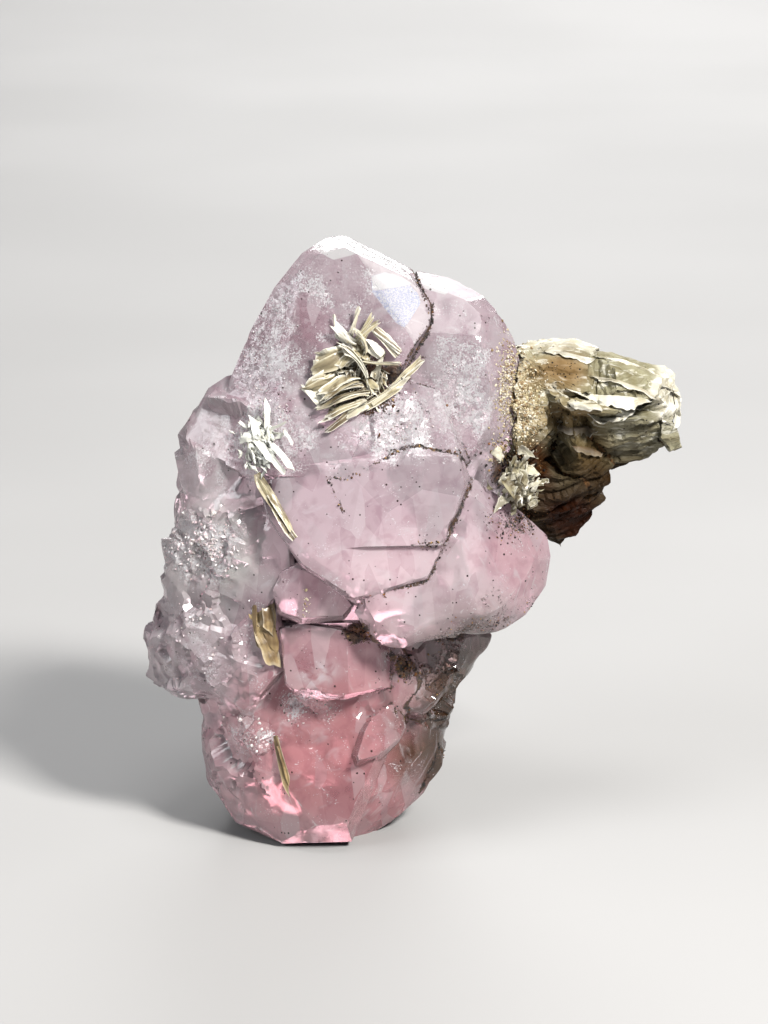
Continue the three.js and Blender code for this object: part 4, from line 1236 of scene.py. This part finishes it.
def tuft(
    name, bed, blades, material, seed, leaves=1, flakes=0, around=None, reach=None, longest=1.7, lie=None,
    sunk=0.3, **habit
):
    """The listed blades on a bed face, each split into leaves, and flakes that lie any way or one way."""
    made = Blades(seed, **habit)
    draw = made.draw
    for root, tip, width, roll, bow, stain in blades:
        for leaf in range(leaves):
            ends = []
            for right, up, proud in (root, tip):
                aside = [draw.uniform(-0.16, 0.16) * leaf for _ in range(2)]
                ends.append(over(bed, right + aside[0], up + aside[1], proud + 0.14 * leaf))
            turned = roll + draw.uniform(-14, 14) * leaf
            made.add(*ends, width * 0.72**leaf, turned, bow, stain)
    for _ in range(flakes):
        start = [middle + draw.normalvariate(0, 0.42) * wide for middle, wide in zip(around, reach)]
        length = draw.uniform(0.25 * longest, longest)
        angle = math.radians(draw.uniform(0, 360) if lie is None else draw.normalvariate(lie, 30))
        end = (start[0] + length * math.cos(angle), start[1] + length * math.sin(angle))
        proud = draw.uniform(-sunk, 0.5)
        root = over(bed, *start, proud)
        tip = over(bed, *end, draw.uniform(0.0, 1.0) if lie is None else proud + draw.uniform(-0.1, 0.4))
        width = length * draw.uniform(0.25, 0.8)
        roll, bow, stain = (draw.uniform(*ends) for ends in ((-80, 80), (-0.1, 0.25), (-0.6, 0.8)))
        made.add(root, tip, width, roll, bow, stain)
    return made.piece(name, material)


# Each mica's light and dark sheets, its stain, and its share of black specks.
MICAS = {
    "torn_mica": (srgb(216, 212, 196), srgb(172, 164, 136), srgb(92, 70, 42), 0.04),
    "olive_mica": (srgb(190, 179, 144), srgb(104, 88, 56), srgb(74, 54, 30), 0.05),
    "white_mica": (srgb(240, 242, 234), srgb(212, 213, 203), srgb(198, 194, 174), 0.0),
    "stained_mica": (srgb(172, 164, 132), srgb(92, 80, 50), srgb(58, 42, 22), 0.1),
    "brown_mica": (srgb(170, 146, 102), srgb(100, 78, 46), srgb(78, 58, 32), 0.06),
}

# Half widths of the tip of a blade that ends blunt, and how bright the rims of stained blades are.
BLUNT = (0.4, 1.0)
STAINED_RIMS = (0.0, 0.05, 0.2)

# Torn sheets on the book: corners of the spine, reach, ruffle, fall to the right and up, and stain.
TORN_SHEETS = [
    ([(13.4, 16.6), (16.4, 17.2), (19.4, 17.2), (21.6, 16.2)], 1.2, 0.4, (0.2, -1.0), 0.0),
    ([(16.0, 16.0), (18.0, 16.0), (21.0, 15.2)], 1.0, 0.4, (0.2, -1.0), 0.25),
    ([(20.8, 15.6), (24.0, 15.2), (27.0, 14.0), (29.0, 11.9)], 0.9, 0.35, (-0.2, -1.0), 0.0),
    ([(20.4, 13.6), (23.0, 13.3), (25.8, 12.3), (28.0, 10.9)], 0.5, 0.3, (0.0, -1.0), 0.3),
    ([(18.2, 12.3), (20.4, 11.7), (23.4, 11.6), (26.8, 11.2)], 1.5, 0.7, (0.1, -1.0), 0.0),
    ([(16.8, 12.7), (18.2, 11.5), (20.4, 10.7), (23.0, 10.9), (26.6, 10.5)], 1.5, 0.8, (0.15, -1.0), 0.0),
    ([(20.2, 9.8), (22.0, 9.3), (24.4, 9.5)], 0.8, 0.5, (0.1, -1.0), 0.2),
    ([(28.9, 12.2), (29.2, 10.2), (28.9, 8.0)], 0.8, 0.5, (0.9, -0.3), 0.0),
    # These two lie in the shade low on the book: their stain is partly brown stain, partly painted shade.
    ([(17.2, 9.0), (18.6, 8.3), (20.4, 8.6), (21.4, 7.8)], 0.9, 0.6, (0.1, -1.0), 0.9),
    ([(18.8, 6.6), (20.4, 6.4), (22.0, 5.8)], 0.7, 0.5, (0.0, -1.0), 1.0),
]


def spine_on(surfaces, corners, step):
    """Points along a line of corners, each on the surface that the viewer sees there."""
    spine = []
    for start, end in zip(corners, corners[1:]):
        a, b = Vector(start), Vector(end)
        count = max(2, round((b - a).length / step))
        for k in range(count):
            hit = touch(surfaces, *a.lerp(b, k / count))
            if hit:
                spine.append(hit[0])
    for _ in range(3):
        inner = [(a + b * 2 + c) / 4 for a, b, c in zip(spine, spine[1:], spine[2:])]
        spine = spine[:1] + inner + spine[-1:]
    return spine


def torn_book_sheets(surface, material):
    made = Blades(seed=51)
    for corners, reach, ruffle, (right, up), stain in TORN_SHEETS:
        fall = (VIEW_RIGHT * right + VIEW_UP * up + VIEWER * 0.35).normalized()
        made.add_torn(spine_on([surface], corners, step=0.16), fall, reach, ruffle, stain)
    return made.piece("book_torn_edges", material)


# Loose grains

CRUST_COLOURS = [srgb(216, 206, 178), srgb(198, 182, 144), srgb(234, 229, 212), srgb(150, 126, 90)]
DIRT_COLOURS = [srgb(34, 22, 14), srgb(84, 52, 26), srgb(128, 84, 44), srgb(22, 16, 12), srgb(170, 138, 92)]
CRUMB_COLOURS = [srgb(246, 243, 244), srgb(240, 230, 234), srgb(230, 212, 218)]

# How many grains of dirt are tried along the seams all round, and along each millimetre of the dirty ones.
SEAM_GRAINS = 1500
GRAINS_PER_MM = 7

# Patches of grains: middle, reach, count, and smallest and largest grain.
CRUST_PATCHES = [
    ((13.6, 11.6), (2.4, 5.4), 1500, (0.07, 0.34)),
    ((14.2, 9.6), (1.8, 3.6), 700, (0.07, 0.30)),
    ((12.3, 13.2), (1.2, 5.8), 1000, (0.06, 0.24)),
    ((11.6, 6.2), (1.4, 1.8), 130, (0.10, 0.5)),
    ((-7.8, -9.4), (0.6, 1.4), 26, (0.08, 0.32)),
]
DIRT_GRAINS = [
    ((12.6, 4.6), (2.6, 2.6), 160, (0.12, 0.4)),
    ((13.2, -0.8), (3.4, 2.2), 420, (0.05, 0.24)),
    ((11.0, -11.0), (5.0, 0.9), 160, (0.04, 0.18)),
    ((2.0, -15.4), (0.9, 1.6), 90, (0.10, 0.35)),
    ((-2.7, -12.0), (1.6, 1.2), 140, (0.06, 0.28)),
    ((-1.0, 12.0), (2.8, 2.8), 120, (0.10, 0.35)),
    ((5.6, -16.4), (3.2, 3.0), 90, (0.05, 0.22)),
    ((4.6, -3.3), (1.8, 0.6), 70, (0.05, 0.24)),
]
FROST_CRUMBS = [
    ((-17.8, -3.4), (3.0, 3.0), 460, (0.08, 0.42)),
    ((1.0, 8.6), (5.0, 3.4), 240, (0.06, 0.26)),
    ((-8.0, -19.6), (3.2, 1.6), 70, (0.06, 0.34)),
    ((-11.6, 9.4), (2.6, 4.0), 160, (0.06, 0.26)),
    ((-19.0, -12.0), (5.0, 5.0), 80, (0.08, 0.4)),
    ((7.6, 11.6), (3.0, 5.0), 160, (0.05, 0.20)),
    ((-12.0, 16.0), (2.4, 6.0), 160, (0.05, 0.22)),
    ((-13.6, -22.4), (2.4, 3.0), 60, (0.08, 0.36)),
]


def grain_form():
    """The corners and faces of a grain with 20 sides, one millimetre across."""
    shape = bmesh.new()
    bmesh.ops.create_icosphere(shape, subdivisions=1, radius=0.5)
    corners = np.array([v.co for v in shape.verts])
    faces = np.array([[v.index for v in face.verts] for face in shape.faces])
    shape.free()
    return corners, faces


def grain_size(sizes, draw):
    """A size between the smallest and the largest, more often small."""
    small, large = sizes
    return small + (large - small) * draw.random() ** 3


def patch_spots(surfaces, patches, draw):
    """Spots scattered over patches, on the surface that the viewer sees there: point, normal and size."""
    spots = []
    for middle, reach, count, sizes in patches:
        for _ in range(count):
            offset = [draw.normalvariate(0, 0.45) for _ in range(2)]
            hit = touch(surfaces, *[m + o * r for m, o, r in zip(middle, offset, reach)])
            if hit:
                spots.append((hit[0], hit[1], grain_size(sizes, draw)))
    return spots


def seam_spots(surface, seams, count, sizes, draw):
    """Spots along the seams between crystals, all the way round, thicker in some stretches."""
    spots = []
    for _ in range(count):
        mark = draw.choice(seams)
        settled = noise.noise(mark * 0.18)
        right_side = smooth(np.array((places_of(np.array([mark]))[0, 0] + 4) / 8))
        if settled > draw.uniform(-0.3, 0.3) and max(right_side, mark.y > 3) > draw.random():
            drift = Vector([draw.normalvariate(0, 0.16) for _ in range(3)])
            place, normal, _, _ = surface.find_nearest(mark + drift)
            spots.append((place, normal, grain_size(sizes, draw)))
    return spots


def line_spots(surfaces, lines, per_mm, sizes, draw):
    """Spots strewn along lines that the viewer sees, on the surface there: point, normal and size."""
    spots = []
    for corners, width, strength in lines:
        for start, end in zip(corners, corners[1:]):
            a, b = Vector(start), Vector(end)
            for _ in range(round((b - a).length * per_mm * strength)):
                drift = Vector([draw.normalvariate(0, width / 3) for _ in range(2)])
                hit = touch(surfaces, *(a.lerp(b, draw.random()) + drift))
                if hit:
                    spots.append((hit[0], hit[1], grain_size(sizes, draw)))
    return spots


def scatter(name, spots, colours, material, seed):
    """Small angular grains set into the surface at the spots, as one mesh."""
    draw = np.random.default_rng(seed)
    corners, faces = grain_form()
    points, polygons, tints = [], [], []
    for k, (place, normal, size) in enumerate(spots):
        turn = np.array(Quaternion(draw.normal(size=4)).normalized().to_matrix())
        shape = corners * draw.uniform(0.5, 1.4, (len(corners), 1)) * draw.uniform(0.4, 1.5, 3)
        points.append(shape @ turn * size + np.array(place) + np.array(normal) * size * 0.15)
        polygons.append(faces + k * len(corners))
        tints.append(np.tile(colours[draw.integers(len(colours))], (len(corners), 1)))
    made = make_piece(name, np.concatenate(points), np.concatenate(polygons), material, False)
    set_colours(made, "tint", np.concatenate(tints))
    return made


# The studio

# Lights: azimuth and elevation, distance and size in metres, power in watts, and colour.
LIGHTS = {
    "key": (40, 44, 0.8, 0.16, 11.5, (1.0, 0.98, 0.95)),
    "fill": (-55, 28, 0.9, 0.4, 2.5, (0.95, 0.97, 1.0)),
    "rim": (172, 24, 0.7, 0.4, 2.6, (1, 1, 1)),
    "top": (10, 80, 0.8, 0.3, 2.2, (1, 1, 1)),
}
SKY_COLOUR = (0.9, 0.92, 1.0, 1)
SKY_STRENGTH = 0.14

# The floor, in metres: half its width, its near and far ends, and the bend and height of the backdrop.
FLOOR_WIDTH = 4.0
FLOOR_NEAR, FLOOR_FAR = -2.5, 0.55
BACKDROP_BEND, BACKDROP_HEIGHT = 0.3, 1.2
BEND_STEPS = 12


def area_light(name, azimuth, elevation, distance, size, power, colour):
    light = bpy.data.lights.new(name, "AREA")
    light.size = size
    light.energy = power
    light.color = colour
    lamp = bpy.data.objects.new(name, light)
    lamp.location = VIEW_MIDDLE * MM + toward(azimuth, elevation) * distance
    lamp.rotation_euler = toward(azimuth, elevation).to_track_quat("Z", "Y").to_euler()
    bpy.context.scene.collection.objects.link(lamp)


def floor_and_backdrop():
    """A pale floor that curves up into a backdrop."""
    profile = [(FLOOR_NEAR, 0.0), (FLOOR_FAR, 0.0)]
    for k in range(1, BEND_STEPS + 1):
        angle = k / BEND_STEPS * math.pi / 2
        profile.append((FLOOR_FAR + BACKDROP_BEND * math.sin(angle), BACKDROP_BEND * (1 - math.cos(angle))))
    profile.append((FLOOR_FAR + BACKDROP_BEND, BACKDROP_HEIGHT))
    points = [(side * FLOOR_WIDTH / MM, y / MM, z / MM) for y, z in profile for side in (-1, 1)]
    faces = [(2 * k, 2 * k + 1, 2 * k + 3, 2 * k + 2) for k in range(len(profile) - 1)]
    floor = make_piece("floor", points, faces, studio_material())


def studio():
    """The floor, soft lights and the camera."""
    scene = bpy.context.scene
    floor_and_backdrop()
    for name, light in LIGHTS.items():
        area_light(name, *light)
    scene.world = bpy.data.worlds.new("studio")
    scene.world.use_nodes = True
    sky = scene.world.node_tree.nodes["Background"].inputs
    sky["Color"].default_value = SKY_COLOUR
    sky["Strength"].default_value = SKY_STRENGTH
    lens = bpy.data.cameras.new("camera")
    lens.lens = LENS
    lens.sensor_width = SENSOR
    camera = bpy.data.objects.new("camera", lens)
    camera.location = EYE * MM
    camera.rotation_euler = VIEWER.to_track_quat("Z", "Y").to_euler()
    scene.collection.objects.link(camera)
    scene.camera = camera
    scene.view_settings.view_transform = "Standard"
    scene.cycles.caustics_reflective = False
    scene.cycles.caustics_refractive = False
    scene.cycles.max_bounces = 5
    scene.cycles.diffuse_bounces = 1
    scene.cycles.glossy_bounces = 2
    scene.cycles.transmission_bounces = 4


def attach(piece, slot, *nodes):
    """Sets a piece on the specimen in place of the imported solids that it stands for."""
    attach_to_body(piece, "root")
    if nodes:
        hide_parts(*nodes)


studio()
crystals, crystal_surface, crystal_seams = apatite_crystals()
attach(crystals, "pink_apatite", "apatite_crystals")
book, book_surface = mica_book()
attach(book, "cream_mica", "mica_book")
mica = {name: mica_material(name, *look) for name, look in MICAS.items()}
attach(torn_book_sheets(book_surface, mica["torn_mica"]), "cream_mica")
surfaces = [crystal_surface, book_surface]
sprinkle = random.Random(61)
crust_spots = patch_spots(surfaces, CRUST_PATCHES, sprinkle)
dirt_spots = patch_spots(surfaces, DIRT_GRAINS, sprinkle)
dirt_spots += seam_spots(crystal_surface, crystal_seams, SEAM_GRAINS, (0.08, 0.34), sprinkle)
dirt_spots += line_spots([crystal_surface], DIRT_SEAMS, GRAINS_PER_MM, (0.05, 0.24), sprinkle)
crumb_spots = patch_spots([crystal_surface], FROST_CRUMBS, sprinkle)
crust = grain_material("crust", roughness=0.6)
dirt = grain_material("dirt", roughness=0.8)
frost = grain_material("frost", roughness=0.2, clearness=0.1)
attach(scatter("crust_grains", crust_spots, CRUST_COLOURS, crust, 62), "cream_mica")
attach(scatter("dirt_grains", dirt_spots, DIRT_COLOURS, dirt, 63), "brown_mica")
attach(scatter("frost_crumbs", crumb_spots, CRUMB_COLOURS, frost, 64), "pink_apatite")
attach(
    tuft(
        "rosette_blades", CROWN_FRONT, ROSETTE, mica["olive_mica"], 41, leaves=3,
        flakes=130, around=(-3.0, 13.4), reach=(3.0, 3.4), tips=(0.1, 0.8), rims=(0.3, 0.7, 1.0),
    ),
    "olive_mica",
    "mica_rosette",
)
attach(
    tuft(
        "spray_blades", CROWN_LEFT, SPRAY, mica["white_mica"], 42,
        flakes=260, around=(-12.6, 7.0), reach=(1.6, 2.8), longest=1.0, lie=-68, tips=BLUNT,
    ),
    "white_mica",
    "mica_spray",
)
attach(tuft("sliver_blades", FRONT_LEFT, SLIVER, mica["olive_mica"], 43), "olive_mica", "mica_sliver")
attach(
    tuft("brown_flake", ELBOW_FRONT, BROWN_FLAKE, mica["brown_mica"], 44, tips=BLUNT, rims=STAINED_RIMS),
    "brown_mica",
    "mica_brown_plate",
)
attach(
    tuft(
        "junction_blades", SHOULDER_FRONT, JUNCTION, mica["stained_mica"], 45,
        flakes=230, around=(13.3, 2.6), reach=(1.8, 2.6), longest=1.2, lie=52, sunk=2.4,
        tips=BLUNT, rims=(0.0, 0.2, 0.5),
    ),
    "olive_mica",
    "mica_junction_tuft",
)
attach(
    tuft("splinter_blades", FOOT_FRONT, SPLINTER, mica["brown_mica"], 46, rims=STAINED_RIMS),
    "brown_mica",
    "mica_splinter",
)
